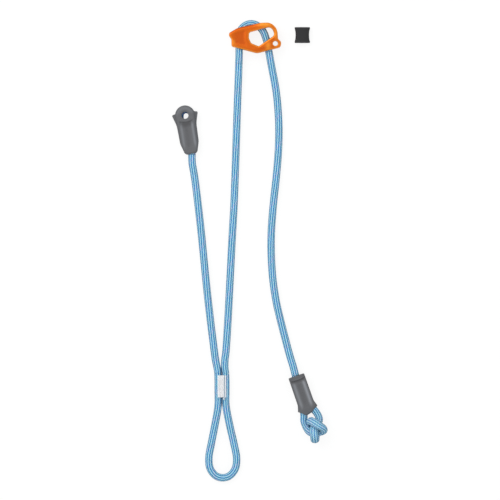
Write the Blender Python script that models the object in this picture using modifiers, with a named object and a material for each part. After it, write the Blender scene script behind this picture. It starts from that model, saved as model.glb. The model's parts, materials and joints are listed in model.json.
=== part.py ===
"""Adjustable twin rope lanyard, laid out flat on a table.

One rope makes the whole lanyard: a fixed arm that ends in a sewn eye inside a moulded connector
keeper, a sewn tie-in loop, and an adjustable arm that runs through a metal adjuster and ends in a
knotted eye behind a moulded sleeve. Metres, +Z up. The origin lies under the adjuster's friction
post, on the table.
"""
import math

import bmesh
import bpy
from mathutils import Matrix, Vector

# Rope
ROPE_DIAMETER = 0.0090
EYE_ROPE_DIAMETER = 0.0076      # the rope is squeezed flat round the connector eye
KNOT_ROPE_DIAMETER = 0.0080     # and drawn thin by the knot
JOIN_GAP = 0.0003               # between faces that touch on the real lanyard
ROPE_STEP = 0.024               # spacing of the tube's rings on a gentle run
LOOP_STEP = 0.013
BEND_STEP = 0.007
KNOT_STEP = 0.0055
VALLEY_SIDES_RESOLUTION = 8
THREAD_STEP = 0.0018
SQUARE_END = 0.0025
ROPE_SIDES_RESOLUTION = 4

# Adjuster frame
ADJUSTER_CHEEK = 0.0038         # metal in front of and behind the rope
ADJUSTER_ROPE_CLEARANCE = 0.0004
ADJUSTER_EDGE_ROUND = 0.0012
ADJUSTER_LUG_HOLE_RADIUS = 0.0030
ADJUSTER_PANEL_DEPTH = 0.0008
BORE_BEYOND = 0.0060            # how far a rope bore's cutter runs out of the piece

# Moulded keeper and sleeve
MOULD_WALL = 0.0016             # rubber in front of and behind the rope
MOULD_ROPE_CLEARANCE = 0.0003
KEEPER_EDGE_ROUND = 0.0034
SLEEVE_EDGE_ROUND = 0.0014
MOULD_FLANGE_THICKNESS = 0.0058
MOULD_FLANGE_ROUND = 0.0010
VALLEY_DEPTH = 0.0007           # the rubber sinks in between the two legs of rope
VALLEY_WIDTH = 0.0080
POCKET_DEPTH = 0.0012
KEEPER_HOLE_RADIUS = 0.0041
KEEPER_DOME_RADIUS = 0.0123
EYE_CENTRE_RADIUS = 0.0070

# Stitching
TACK_WIDTH = 0.0103
TACK_LENGTH = 0.0258
TACK_THICKNESS = 0.0009         # thread that stands proud of the rope
THREAD_END_DIAMETER = 0.0008    # loose end of the thread
INNER_STITCH_WIDTH = 0.0050
INNER_STITCH_PROUD = 0.0003
LEG_SPACING = ROPE_DIAMETER + JOIN_GAP

# Layout on the table: the straight run of the arms and the tail, and where it starts
RUN_START = -0.1600
RUN_LENGTH = 0.2100
RUN_LENGTH_DRAWN = 0.2100       # the run that the points below were measured with

# Keeper band
BAND_WIDTH = 0.0180
BAND_WAIST_WIDTH = 0.0158
BAND_HEIGHT = 0.0192
BAND_THICKNESS = 0.0094
BAND_WALL = 0.0020
BAND_CENTRE = (0.0685, 0.0036)

# Heights of the rope's middle line
ADJUSTER_THICKNESS = ROPE_DIAMETER + 2 * (ADJUSTER_ROPE_CLEARANCE + ADJUSTER_CHEEK)
MOULD_THICKNESS = ROPE_DIAMETER + 2 * (MOULD_ROPE_CLEARANCE + MOULD_WALL)
Z_TABLE = ROPE_DIAMETER / 2
Z_ADJUSTER = ADJUSTER_THICKNESS / 2
Z_MOULD = MOULD_THICKNESS / 2
Z_TACK = Z_TABLE + TACK_THICKNESS + JOIN_GAP / 3



def laid(points):
    """Points measured on the pictured layout, moved to where the run's own length puts them."""
    moved = []
    for x, y, *rest in points:
        inside = min(max(RUN_START - y, 0.0), RUN_LENGTH_DRAWN)
        moved.append((x, y + inside * (1.0 - RUN_LENGTH / RUN_LENGTH_DRAWN), *rest))
    return moved


# Places of the moulded pieces: origin and turn about Z, so that their +Y runs along the rope
KEEPER_PLACE = ((-0.0718, -0.0929), 9.2)        # origin at the connector hole
SLEEVE_PLACE = (laid([(0.0616, -0.4054)])[0], 19.2)     # origin in the middle of the sleeve's mouth
TACK_CENTRE = laid([(-0.0275, -0.4180)])[0]
LEFT_LEG = TACK_CENTRE[0] - LEG_SPACING / 2
RIGHT_LEG = TACK_CENTRE[0] + LEG_SPACING / 2

# Routes of the rope, (x, y, z)
FIXED_ARM_ROUTE = laid([
    (-0.0636, -0.1400, Z_MOULD), (-0.0633, -0.1500, 0.0058), (-0.0616, -0.1600, 0.0051),
    (-0.0597, -0.1720, 0.0046), (-0.0567, -0.1960, Z_TABLE), (-0.0527, -0.2310, Z_TABLE),
    (-0.0491, -0.2670, Z_TABLE), (-0.0455, -0.3030, Z_TABLE), (-0.0415, -0.3380, Z_TABLE),
    (-0.0384, -0.3630, Z_TABLE), (-0.0355, -0.3850, 0.0048), (-0.0336, -0.3960, 0.0053),
    (LEFT_LEG - 0.0005, -0.4024, Z_TACK),
])
ADJUSTABLE_ARM_ROUTE = laid([
    (RIGHT_LEG - 0.0004, -0.4024, Z_TACK), (-0.0236, -0.3950, 0.0052), (-0.0236, -0.3850, 0.0047),
    (-0.0226, -0.3740, Z_TABLE), (-0.0204, -0.3390, Z_TABLE), (-0.0179, -0.2910, Z_TABLE),
    (-0.0155, -0.2430, Z_TABLE), (-0.0131, -0.2000, Z_TABLE), (-0.0116, -0.1600, Z_TABLE),
    (-0.0103, -0.1200, Z_TABLE), (-0.0090, -0.0800, 0.0046), (-0.0083, -0.0600, 0.0052),
    (-0.0077, -0.0440, 0.0065), (-0.0073, -0.0303, 0.0078),
])
ENTRY_ROUTE = [
    (-0.0073, -0.0300, 0.0078), (-0.0070, -0.0220, 0.0084), (-0.0069, -0.0135, Z_ADJUSTER),
]
BIGHT_ROUTE = [
    (-0.0069, -0.0132, Z_ADJUSTER), (-0.0066, -0.0050, Z_ADJUSTER), (-0.0063, 0.0030, Z_ADJUSTER),
    (-0.0049, 0.0094, Z_ADJUSTER), (-0.0017, 0.0138, Z_ADJUSTER), (0.0024, 0.0166, Z_ADJUSTER),
    (0.0070, 0.0177, Z_ADJUSTER), (0.0116, 0.0170, Z_ADJUSTER), (0.0160, 0.0146, Z_ADJUSTER),
    (0.0202, 0.0106, Z_ADJUSTER), (0.0234, 0.0048, Z_ADJUSTER), (0.0259, -0.0026, Z_ADJUSTER),
    (0.0277, -0.0095, Z_ADJUSTER), (0.0287, -0.0162, Z_ADJUSTER),
]
TAIL_ROUTE = laid([
    (0.0288, -0.0166, Z_ADJUSTER), (0.0303, -0.0250, 0.0083), (0.0331, -0.0400, 0.0068),
    (0.0357, -0.0530, 0.0056), (0.0380, -0.0680, 0.0047), (0.0399, -0.0880, Z_TABLE),
    (0.0408, -0.1110, Z_TABLE), (0.0400, -0.1380, Z_TABLE), (0.0375, -0.1680, Z_TABLE),
    (0.0340, -0.2010, Z_TABLE), (0.0317, -0.2330, Z_TABLE), (0.0316, -0.2600, Z_TABLE),
    (0.0334, -0.2880, Z_TABLE), (0.0373, -0.3150, Z_TABLE), (0.0428, -0.3390, Z_TABLE),
    (0.0487, -0.3620, 0.0046), (0.0538, -0.3810, 0.0051), (0.0578, -0.3940, 0.0058),
    (0.0607, -0.4050, Z_MOULD),
])
TIE_IN_LOOP_ROUTE = laid([
    (LEFT_LEG - 0.0003, -0.4029, Z_TACK), (LEFT_LEG, -0.4110, Z_TACK),
    (LEFT_LEG, -0.4260, Z_TACK), (LEFT_LEG - 0.0002, -0.4370, 0.0050),
    (-0.0332, -0.4480, Z_TABLE), (-0.0365, -0.4670, Z_TABLE), (-0.0402, -0.4860, Z_TABLE),
    (-0.0432, -0.5030, Z_TABLE), (-0.0420, -0.5160, Z_TABLE), (-0.0355, -0.5250, Z_TABLE),
    (-0.0266, -0.5278, Z_TABLE), (-0.0178, -0.5250, Z_TABLE), (-0.0113, -0.5160, Z_TABLE),
    (-0.0101, -0.5030, Z_TABLE), (-0.0134, -0.4860, Z_TABLE), (-0.0178, -0.4670, Z_TABLE),
    (-0.0214, -0.4480, Z_TABLE), (RIGHT_LEG + 0.0002, -0.4370, 0.0050),
    (RIGHT_LEG, -0.4260, Z_TACK), (RIGHT_LEG, -0.4110, Z_TACK), (RIGHT_LEG - 0.0003, -0.4029, Z_TACK),
])

# Routes inside the moulded pieces, in each piece's own frame, (across, along, height)
HALF_LEGS = LEG_SPACING / 2
KEEPER_LEG_ROUTE = [
    (0.0007, -0.0474, Z_MOULD), (0.0014, -0.0420, Z_MOULD), (0.0034, -0.0350, Z_MOULD),
    (HALF_LEGS, -0.0280, Z_MOULD), (HALF_LEGS, -0.0150, Z_MOULD), (0.0059, -0.0065, Z_MOULD),
]
SHORT_LEG_ROUTE = [
    (-0.0059, -0.0065, Z_MOULD), (-HALF_LEGS, -0.0150, Z_MOULD), (-HALF_LEGS, -0.0290, Z_MOULD),
]
KEEPER_STITCH_SPAN = (-0.0275, -0.0135)
END_LEG_ROUTE = [
    (-0.0009, -0.0001, Z_MOULD), (-0.0014, -0.0040, Z_MOULD), (-0.0030, -0.0090, Z_MOULD),
    (-HALF_LEGS, -0.0150, Z_MOULD), (-HALF_LEGS, -0.0340, Z_MOULD), (-0.0055, -0.0420, Z_MOULD),
]
END_SHORT_LEG_ROUTE = [
    (0.0054, -0.0420, Z_MOULD), (HALF_LEGS, -0.0340, Z_MOULD), (HALF_LEGS, -0.0175, Z_MOULD),
]
KNOT_ROUTE = [
    (-0.0069, -0.0480, 0.0056), (-0.0087, -0.0535, 0.0046), (-0.0095, -0.0590, 0.0048),
    (-0.0092, -0.0636, 0.0072), (-0.0072, -0.0680, 0.0106), (-0.0032, -0.0714, 0.0125),
    (0.0020, -0.0730, 0.0127), (0.0068, -0.0736, 0.0138), (0.0099, -0.0724, 0.0180),
    (0.0095, -0.0692, 0.0232), (0.0066, -0.0652, 0.0260), (0.0034, -0.0610, 0.0258),
    (0.0004, -0.0576, 0.0226), (-0.0016, -0.0564, 0.0166), (-0.0012, -0.0572, 0.0102),
    (0.0005, -0.0602, 0.0054), (0.0012, -0.0646, 0.0042), (0.0004, -0.0694, 0.0040),
    (-0.0018, -0.0750, 0.0044), (-0.0039, -0.0795, 0.0082), (-0.0044, -0.0802, 0.0144),
    (-0.0037, -0.0762, 0.0200), (-0.0024, -0.0712, 0.0216), (-0.0004, -0.0666, 0.0198),
    (0.0025, -0.0642, 0.0154), (0.0060, -0.0624, 0.0116), (0.0099, -0.0588, 0.0098),
    (0.0102, -0.0532, 0.0086), (0.0079, -0.0476, 0.0074),
]
END_STITCH_SPAN = (-0.0345, -0.0190)

# Outlines: (x, y, corner radius)
ADJUSTER_OUTLINE = [
    (-0.0206, 0.0050, 0.0035), (-0.0090, 0.0122, 0.0140), (0.0190, 0.0186, 0.0300),
    (0.0305, 0.0190, 0.0120), (0.0388, 0.0115, 0.0140), (0.0398, -0.0011, 0.0008),
    (0.0437, -0.0050, 0.0040), (0.0430, -0.0112, 0.0045), (0.0154, -0.0184, 0.0170),
    (-0.0161, -0.0103, 0.0024), (-0.0163, -0.0018, 0.0030),
]
ADJUSTER_HOLE = [
    (0.0047, 0.0072, 0.0022), (0.0320, 0.0140, 0.0055), (0.0359, 0.0033, 0.0035),
    (0.0164, -0.0105, 0.0020), (0.0070, -0.0063, 0.0030), (0.0041, -0.0005, 0.0050),
]
ADJUSTER_LUG_HOLE = (0.0365, -0.0067)
ADJUSTER_PANEL = [
    (-0.0152, 0.0046, 0.0020), (-0.0085, 0.0082, 0.0060), (0.0006, 0.0104, 0.0020),
    (0.0006, -0.0030, 0.0060), (0.0036, -0.0100, 0.0020), (-0.0128, -0.0068, 0.0020),
]
KEEPER_SIDES = [
    (-0.0108, -0.0160, 0.0200), (-0.0108, -0.0350, 0.0120), (-0.0072, -0.0471, 0.0050),
    (0.0072, -0.0471, 0.0050), (0.0108, -0.0350, 0.0120), (0.0108, -0.0160, 0.0200),
]
KEEPER_FLANGE = [
    (-0.0158, 0.0022, 0.0013), (-0.0119, -0.0110, 0.0250), (-0.0113, -0.0330, 0.0150),
    (-0.0060, -0.0460, 0.0020), (0.0060, -0.0460, 0.0020), (0.0113, -0.0330, 0.0150),
    (0.0119, -0.0110, 0.0250), (0.0158, 0.0022, 0.0013), (0.0090, 0.0045, 0.0020),
    (-0.0090, 0.0045, 0.0020),
]
KEEPER_VALLEY_SPAN = (-0.0130, -0.0415)
KEEPER_POCKET = [
    (-0.0090, -0.0050, 0.0012), (-0.0046, -0.0077, 0.0030), (0.0046, -0.0077, 0.0030),
    (0.0090, -0.0050, 0.0012), (0.0058, -0.0110, 0.0045), (-0.0058, -0.0110, 0.0045),
]
SLEEVE_BODY = [
    (-0.0098, 0.0000, 0.0018), (-0.0096, -0.0350, 0.0060), (-0.0112, -0.0425, 0.0016),
    (-0.0040, -0.0492, 0.0022), (0.0040, -0.0472, 0.0040),
    (0.0112, -0.0425, 0.0016), (0.0096, -0.0350, 0.0060), (0.0098, 0.0000, 0.0018),
]
SLEEVE_FLANGE = [
    (-0.0101, -0.0050, 0.0013), (-0.0101, -0.0345, 0.0080), (-0.0124, -0.0420, 0.0013),
    (-0.0080, -0.0440, 0.0015), (0.0080, -0.0440, 0.0015), (0.0124, -0.0420, 0.0013),
    (0.0101, -0.0345, 0.0080), (0.0101, -0.0050, 0.0013),
]
SLEEVE_VALLEY_SPAN = (-0.0085, -0.0425)
SLEEVE_POCKET = [
    (-0.0085, -0.0042, 0.0008), (0.0085, -0.0042, 0.0008), (0.0060, -0.0074, 0.0040),
    (-0.0060, -0.0074, 0.0040),
]


# Colours, roughness and metallic value of each finish
FINISHES = {
    "rope_blue": ((0.13, 0.40, 0.68), 0.85, 0.0),
    "anodised_orange": ((0.85, 0.17, 0.01), 0.38, 0.9),
    "grey_rubber": ((0.11, 0.11, 0.12), 0.6, 0.0),
    "black_rubber": ((0.03, 0.03, 0.035), 0.65, 0.0),
    "white_thread": ((0.80, 0.80, 0.78), 0.8, 0.0),
}

ARC_STEP = math.radians(24)
EDGE_SEGMENTS = 2
WELD_DISTANCE = 1e-6


def clear_scene():
    """Removes whatever the scene holds."""
    for old in list(bpy.context.scene.objects):
        bpy.data.objects.remove(old, do_unlink=True)


def make_collections():
    """The lanyard's own collection, and one for cutters."""
    parts = bpy.data.collections.new("adjustable_twin_lanyard")
    cutters = bpy.data.collections.new("cutters")
    for collection in (parts, cutters):
        bpy.context.scene.collection.children.link(collection)
    return parts, cutters


def finish(name):
    """The material called name, made once."""
    material = bpy.data.materials.get(name)
    if material is None:
        colour, roughness, metallic = FINISHES[name]
        material = bpy.data.materials.new(name)
        material.use_nodes = True
        shader = material.node_tree.nodes["Principled BSDF"]
        shader.inputs["Base Color"].default_value = (*colour, 1.0)
        shader.inputs["Roughness"].default_value = roughness
        shader.inputs["Metallic"].default_value = metallic
    return material


def add_object(name, data, material=None):
    """Puts a new object into the lanyard's collection."""
    made = bpy.data.objects.new(name, data)
    PARTS.objects.link(made)
    if material:
        data.materials.clear()
        data.materials.append(finish(material))
    return made


def add_empty(name, place, turn=0.0, height=0.0):
    """An empty that carries the pieces of one sub-assembly; turn is in degrees about Z."""
    empty = add_object(name, None)
    empty.location = (place[0], place[1], height)
    empty.rotation_euler = (0.0, 0.0, math.radians(turn))
    bpy.context.view_layer.update()
    return empty


def as_cutter(tool):
    """Marks an object as a cutter and moves it to the cutters' collection."""
    PARTS.objects.unlink(tool)
    CUTTERS.objects.link(tool)
    tool.hide_render = True
    tool.display_type = "WIRE"
    return tool


def boolean(target, tool, operation):
    """Joins tool to target or cuts it out of it."""
    modifier = target.modifiers.new(operation.lower() + "_" + tool.name, "BOOLEAN")
    modifier.operation = operation
    modifier.solver = "EXACT"
    modifier.object = tool


def curve_to_mesh(curve_object, name, material):
    """Replaces a curve object by a mesh object with welded caps."""
    bpy.context.view_layer.update()
    graph = bpy.context.evaluated_depsgraph_get()
    mesh = bpy.data.meshes.new_from_object(curve_object.evaluated_get(graph))
    work = bmesh.new()
    work.from_mesh(mesh)
    bmesh.ops.remove_doubles(work, verts=work.verts, dist=WELD_DISTANCE)
    bmesh.ops.recalc_face_normals(work, faces=work.faces)
    work.to_mesh(mesh)
    work.free()
    matrix = curve_object.matrix_world.copy()
    curve = curve_object.data
    bpy.data.objects.remove(curve_object)
    bpy.data.curves.remove(curve)
    made = add_object(name, mesh, material)
    made.matrix_world = matrix
    return made


def smooth_route(points, step, square=False):
    """Points spaced about one step apart on a smooth curve through the given points.

    With square ends, a point close to each end makes the tube's caps stand square to the rope.
    """
    knots = [Vector(point) for point in points]
    knots = [2 * knots[0] - knots[1]] + knots + [2 * knots[-1] - knots[-2]]
    fine = []
    for before, start, end, after in zip(knots, knots[1:], knots[2:], knots[3:]):
        for k in range(12):
            t = k / 12
            fine.append(0.5 * (
                2 * start + (end - before) * t
                + (2 * before - 5 * start + 4 * end - after) * t * t
                + (3 * start - before - 3 * end + after) * t * t * t
            ))
    fine.append(knots[-2])
    lengths = [0.0]
    for a, b in zip(fine, fine[1:]):
        lengths.append(lengths[-1] + (b - a).length)
    count = max(2, round(lengths[-1] / step))
    places = [lengths[-1] * index / count for index in range(count + 1)]
    if square:
        places = [0.0, SQUARE_END] + places[1:-1] + [lengths[-1] - SQUARE_END, lengths[-1]]
    route = []
    k = 0
    for wanted in places:
        while k < len(fine) - 2 and lengths[k + 1] < wanted:
            k += 1
        share = (wanted - lengths[k]) / (lengths[k + 1] - lengths[k])
        route.append(fine[k].lerp(fine[k + 1], share))
    return route


def route_length(route):
    """Length along a route's points."""
    return sum((b - a).length for a, b in zip(route, route[1:]))


def tube(name, route, diameter, material="rope_blue", shares=None, resolution=ROPE_SIDES_RESOLUTION):
    """A round tube along the route; shares scale its diameter point by point."""
    curve = bpy.data.curves.new(name, "CURVE")
    curve.dimensions = "3D"
    curve.bevel_depth = diameter / 2
    curve.bevel_resolution = resolution
    curve.use_fill_caps = True
    spline = curve.splines.new("POLY")
    spline.points.add(len(route) - 1)
    for index, (point, place) in enumerate(zip(spline.points, route)):
        point.co = (*place, 1.0)
        point.radius = shares[index] if shares else 1.0
    return curve_to_mesh(add_object(name + "_line", curve), name, material)


def rounded_outline(corners):
    """Points of a polygon whose corners, (x, y, radius), are rounded with arcs."""
    outline = []
    count = len(corners)
    for index, (x, y, radius) in enumerate(corners):
        corner = Vector((x, y))
        to_last = Vector(corners[index - 1][:2]) - corner
        to_next = Vector(corners[(index + 1) % count][:2]) - corner
        if radius == 0.0:
            outline.append(corner)
            continue
        half = to_last.angle(to_next) / 2
        reach = min(radius / math.tan(half), 0.48 * to_last.length, 0.48 * to_next.length)
        radius = reach * math.tan(half)
        centre = corner + (to_last.normalized() + to_next.normalized()).normalized() * (
            radius / math.sin(half)
        )
        first = corner + to_last.normalized() * reach - centre
        sweep = first.angle_signed(corner + to_next.normalized() * reach - centre)
        steps = max(1, math.ceil(abs(sweep) / ARC_STEP))
        for k in range(steps + 1):
            angle = -sweep * k / steps
            turned = Matrix.Rotation(angle, 2) @ first
            outline.append(centre + turned)
    return outline


def circle(centre, radius, sides):
    """Points of a circle."""
    return [
        Vector((
            centre[0] + radius * math.cos(2 * math.pi * k / sides),
            centre[1] + radius * math.sin(2 * math.pi * k / sides),
        ))
        for k in range(sides)
    ]


def turns_left(outline):
    """True for an outline whose points run anticlockwise."""
    area = 0.0
    for a, b in zip(outline, outline[1:] + outline[:1]):
        area += a.x * b.y - b.x * a.y
    return area > 0


def plate(name, outlines, thickness, edge, middle, material=None):
    """A flat plate: the first outline is its edge and the others are holes through it.

    Its edges are rounded by edge, and middle is the height of its middle plane.
    """
    curve = bpy.data.curves.new(name, "CURVE")
    curve.dimensions = "2D"
    curve.fill_mode = "BOTH"
    curve.extrude = thickness / 2 - edge
    curve.bevel_depth = edge
    curve.bevel_resolution = EDGE_SEGMENTS - 1
    curve.offset = -edge
    for index, outline in enumerate(outlines):
        points = outline if turns_left(outline) != (index > 0) else outline[::-1]
        spline = curve.splines.new("POLY")
        spline.points.add(len(points) - 1)
        for point, place in zip(spline.points, points):
            point.co = (place.x, place.y, 0.0, 1.0)
        spline.use_cyclic_u = True
    flat = add_object(name + "_outline", curve)
    flat.location.z = middle
    return curve_to_mesh(flat, name, material)


def block(name, low, high, material=None, edge=0.0):
    """A box between two corners, with its edges rounded by edge."""
    mesh = bpy.data.meshes.new(name)
    work = bmesh.new()
    bmesh.ops.create_cube(work, size=1.0)
    size = [b - a for a, b in zip(low, high)]
    middle = [(a + b) / 2 for a, b in zip(low, high)]
    bmesh.ops.scale(work, vec=size, verts=work.verts)
    bmesh.ops.translate(work, vec=middle, verts=work.verts)
    work.to_mesh(mesh)
    work.free()
    made = add_object(name, mesh, material)
    if edge:
        bevel = made.modifiers.new("rounded_edges", "BEVEL")
        bevel.width = edge
        bevel.segments = EDGE_SEGMENTS
    return made


def carry(piece, empty, local=True):
    """Parents a piece to an empty: in the empty's own frame, or where it stands."""
    piece.parent = empty
    if not local:
        piece.matrix_parent_inverse = empty.matrix_world.inverted()
    return piece


def smooth_faces(piece, angle=40.0):
    """Shades round pieces smooth up to an angle in degrees."""
    piece.data.shade_smooth()
    piece.data.set_sharp_from_angle(angle=math.radians(angle))


def stitch_pair(name, middle, span, legs, width, proud, height, empty, edge):
    """Front and rear bar-tack: thread that fills the valley between two legs of rope.

    middle is the valley's x, span the y of its two ends, legs the two tubes' routes.
    """
    reach = ROPE_DIAMETER / 2 + proud
    sides = {"front": (height, height + reach), "rear": (height - reach, height)}
    for side, (low, high) in sides.items():
        tack = block(
            f"{name}_{side}", (middle - width / 2, span[0], low), (middle + width / 2, span[1], high),
            "white_thread", edge,
        )
        carry(tack, empty)
        for index, leg in enumerate(legs):
            tool = tube(f"{name}_{side}_leg_{index}", leg, ROPE_DIAMETER + 2 * JOIN_GAP, None)
            carry(tool, empty)
            boolean(tack, as_cutter(tool), "DIFFERENCE")


def eye_rope_points():
    """The connector eye's route and the share of the rope's diameter at each point."""
    arc = []
    turns = 8
    for k in range(turns + 1):
        angle = math.pi * k / turns
        arc.append((
            EYE_CENTRE_RADIUS * math.cos(angle), EYE_CENTRE_RADIUS * math.sin(angle), Z_MOULD,
        ))
    route = smooth_route(KEEPER_LEG_ROUTE + arc + SHORT_LEG_ROUTE, BEND_STEP * 0.6)
    squeezed = EYE_ROPE_DIAMETER / ROPE_DIAMETER
    shares = []
    for point in route:
        free = min(1.0, max(0.0, (-point.y - 0.002) / 0.012))
        shares.append(squeezed + (1.0 - squeezed) * free)
    return route, shares


def keeper_outline():
    """The keeper's outline: its sides, and a round top about the connector hole."""
    steps = 14
    top = []
    for k in range(steps + 1):
        angle = math.pi * k / steps
        top.append((KEEPER_DOME_RADIUS * math.cos(angle), KEEPER_DOME_RADIUS * math.sin(angle), 0.0))
    return rounded_outline(KEEPER_SIDES + top)


def build_connector_end():
    """The connector keeper, the rope eye inside it and the eye's stitching."""
    empty = add_empty("connector_end", *KEEPER_PLACE)
    route, shares = eye_rope_points()
    rope = tube("connector_eye_rope", route, ROPE_DIAMETER, shares=shares)
    carry(rope, empty)

    keeper = plate(
        "connector_keeper", [keeper_outline()], MOULD_THICKNESS, KEEPER_EDGE_ROUND, Z_MOULD,
        "grey_rubber",
    )
    flange = plate(
        "keeper_flange", [rounded_outline(KEEPER_FLANGE)], MOULD_FLANGE_THICKNESS,
        MOULD_FLANGE_ROUND, Z_MOULD,
    )
    carry(flange, empty)
    boolean(keeper, as_cutter(flange), "UNION")
    clearance = 2 * MOULD_ROPE_CLEARANCE
    long_route = [route[0] + Vector((-0.0006, -0.0040, 0.0))] + route[:-1]
    long_route.append(route[-1] + Vector((0.0, -MOULD_ROPE_CLEARANCE, 0.0)))
    widths = [
        (share * ROPE_DIAMETER + clearance) / (ROPE_DIAMETER + clearance)
        for share in [1.0] + shares
    ]
    middle = len(long_route) // 2
    bores = [
        tube("keeper_leg_bore", long_route[:middle + 1], ROPE_DIAMETER + clearance, None, widths),
        tube(
            "keeper_eye_bore", long_route[middle - 1:], ROPE_DIAMETER + clearance, None,
            widths[middle - 1:],
        ),
    ]
    hole = plate(
        "keeper_hole", [circle((0, 0), KEEPER_HOLE_RADIUS, 20)], 2 * MOULD_THICKNESS, 0.0, Z_MOULD,
    )
    carry(hole, empty)
    boolean(keeper, as_cutter(hole), "DIFFERENCE")
    dress_mould(keeper, empty, "keeper", KEEPER_VALLEY_SPAN, KEEPER_POCKET, KEEPER_STITCH_SPAN)
    for bore in bores:
        carry(bore, empty)
        boolean(keeper, as_cutter(bore), "DIFFERENCE")
    carry(keeper, empty)
    legs = leg_lines(KEEPER_STITCH_SPAN)
    stitch_pair(
        "connector_eye_stitch", 0.0, KEEPER_STITCH_SPAN, legs, INNER_STITCH_WIDTH,
        INNER_STITCH_PROUD, Z_MOULD, empty, 0.0,
    )


def leg_lines(span):
    """Two straight legs of rope side by side, a little longer than a span, in a mould's frame."""
    beyond = 0.002
    return [
        [Vector((x, span[0] - beyond, Z_MOULD)), Vector((x, span[1] + beyond, Z_MOULD))]
        for x in (-HALF_LEGS, HALF_LEGS)
    ]


def valley(name, span, face, side):
    """A cutter for the shallow valley between two legs of rope; it rises to the face at both ends."""
    radius = (VALLEY_WIDTH ** 2 / 4 + VALLEY_DEPTH ** 2) / (2 * VALLEY_DEPTH)
    height = Z_MOULD + side * (face + radius - VALLEY_DEPTH)
    length = span[1] - span[0]
    stations = ((0.0, 1.15), (0.10, 0.45), (0.22, 0.0), (0.78, 0.0), (0.90, 0.45), (1.0, 1.15))
    route = [Vector((0.0, span[0] + length * along, height)) for along, rise in stations]
    shares = [1.0 - rise * VALLEY_DEPTH / radius for along, rise in stations]
    return tube(name, route, 2 * radius, None, shares, VALLEY_SIDES_RESOLUTION)


def dress_mould(mould, empty, name, valley_span, pocket, stitch_span):
    """Cuts a mould's two valleys, its two pockets and the room for its stitching."""
    face = MOULD_THICKNESS / 2
    for side, label in ((1, "front"), (-1, "rear")):
        dip = valley(f"{name}_valley_{label}", valley_span, face, side)
        sunk = plate(
            f"{name}_pocket_{label}", [rounded_outline(pocket)], 2 * POCKET_DEPTH, 0.0,
            Z_MOULD + side * face,
        )
        for tool in (dip, sunk):
            carry(tool, empty)
            boolean(mould, as_cutter(tool), "DIFFERENCE")
    room = INNER_STITCH_WIDTH / 2 + MOULD_ROPE_CLEARANCE
    reach = ROPE_DIAMETER / 2 + INNER_STITCH_PROUD + MOULD_ROPE_CLEARANCE
    tool = block(
        name + "_stitch_room",
        (-room, stitch_span[0] - MOULD_ROPE_CLEARANCE, Z_MOULD - reach),
        (room, stitch_span[1] + MOULD_ROPE_CLEARANCE, Z_MOULD + reach),
    )
    carry(tool, empty)
    boolean(mould, as_cutter(tool), "DIFFERENCE")


def knotted_end_route():
    """The rope's end: in at the sleeve's mouth, round the overhand knot and back in."""
    leg = smooth_route(END_LEG_ROUTE + KNOT_ROUTE[:2], BEND_STEP)
    knot = smooth_route(
        [END_LEG_ROUTE[-1]] + KNOT_ROUTE + [END_SHORT_LEG_ROUTE[0]], KNOT_STEP,
    )
    short = smooth_route(KNOT_ROUTE[-2:] + END_SHORT_LEG_ROUTE, BEND_STEP)
    cut_above = END_LEG_ROUTE[-1][1]
    head = [point for point in leg if point.y > cut_above + KNOT_STEP / 2]
    tail = [point for point in short if point.y > cut_above + KNOT_STEP / 2]
    return head, knot, tail


def least_gap(route, diameter):
    """Least distance between the surfaces of two stretches of one tube that pass each other."""
    apart = 1.6 * diameter
    lengths = [0.0]
    for a, b in zip(route, route[1:]):
        lengths.append(lengths[-1] + (b - a).length)
    best = 1.0
    for i, a in enumerate(route):
        for j in range(i + 1, len(route)):
            if lengths[j] - lengths[i] > apart:
                best = min(best, (route[j] - a).length - diameter)
    return best


def build_tail_end():
    """The end sleeve, the knotted end of the rope and the eye's stitching."""
    empty = add_empty("tail_end", *SLEEVE_PLACE)
    head, knot, tail = knotted_end_route()
    route = head + knot + tail
    shares = (
        [1.0] * len(head)
        + [KNOT_ROPE_DIAMETER / ROPE_DIAMETER] * len(knot)
        + [1.0] * len(tail)
    )
    rope = tube("knotted_end_rope", route, ROPE_DIAMETER, shares=shares)
    carry(rope, empty)
    fine = smooth_route([tuple(point) for point in knot], 0.0015)
    print(f"least gap of the knot to itself {1000 * least_gap(fine, KNOT_ROPE_DIAMETER):.2f} mm")
    print(f"rope in the knotted end {1000 * route_length(route):.0f} mm")

    sleeve = plate(
        "end_sleeve", [rounded_outline(SLEEVE_BODY)], MOULD_THICKNESS, SLEEVE_EDGE_ROUND, Z_MOULD,
        "grey_rubber",
    )
    flange = plate(
        "sleeve_flange", [rounded_outline(SLEEVE_FLANGE)], MOULD_FLANGE_THICKNESS,
        MOULD_FLANGE_ROUND, Z_MOULD,
    )
    carry(flange, empty)
    boolean(sleeve, as_cutter(flange), "UNION")
    dress_mould(sleeve, empty, "sleeve", SLEEVE_VALLEY_SPAN, SLEEVE_POCKET, END_STITCH_SPAN)
    clearance = 2 * MOULD_ROPE_CLEARANCE
    inside = head + knot[:4]
    inside = [inside[0] + Vector((0.0, 0.004, 0.0))] + inside
    outside = knot[-4:] + tail
    outside.append(outside[-1] + Vector((0.0, MOULD_ROPE_CLEARANCE, 0.0)))
    for index, bore_route in enumerate((inside, outside)):
        bore = tube(f"sleeve_rope_bore_{index}", bore_route, ROPE_DIAMETER + clearance, None)
        carry(bore, empty)
        boolean(sleeve, as_cutter(bore), "DIFFERENCE")
    carry(sleeve, empty)
    stitch_pair(
        "end_eye_stitch", 0.0, END_STITCH_SPAN, leg_lines(END_STITCH_SPAN), INNER_STITCH_WIDTH,
        INNER_STITCH_PROUD, Z_MOULD, empty, 0.0,
    )


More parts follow.
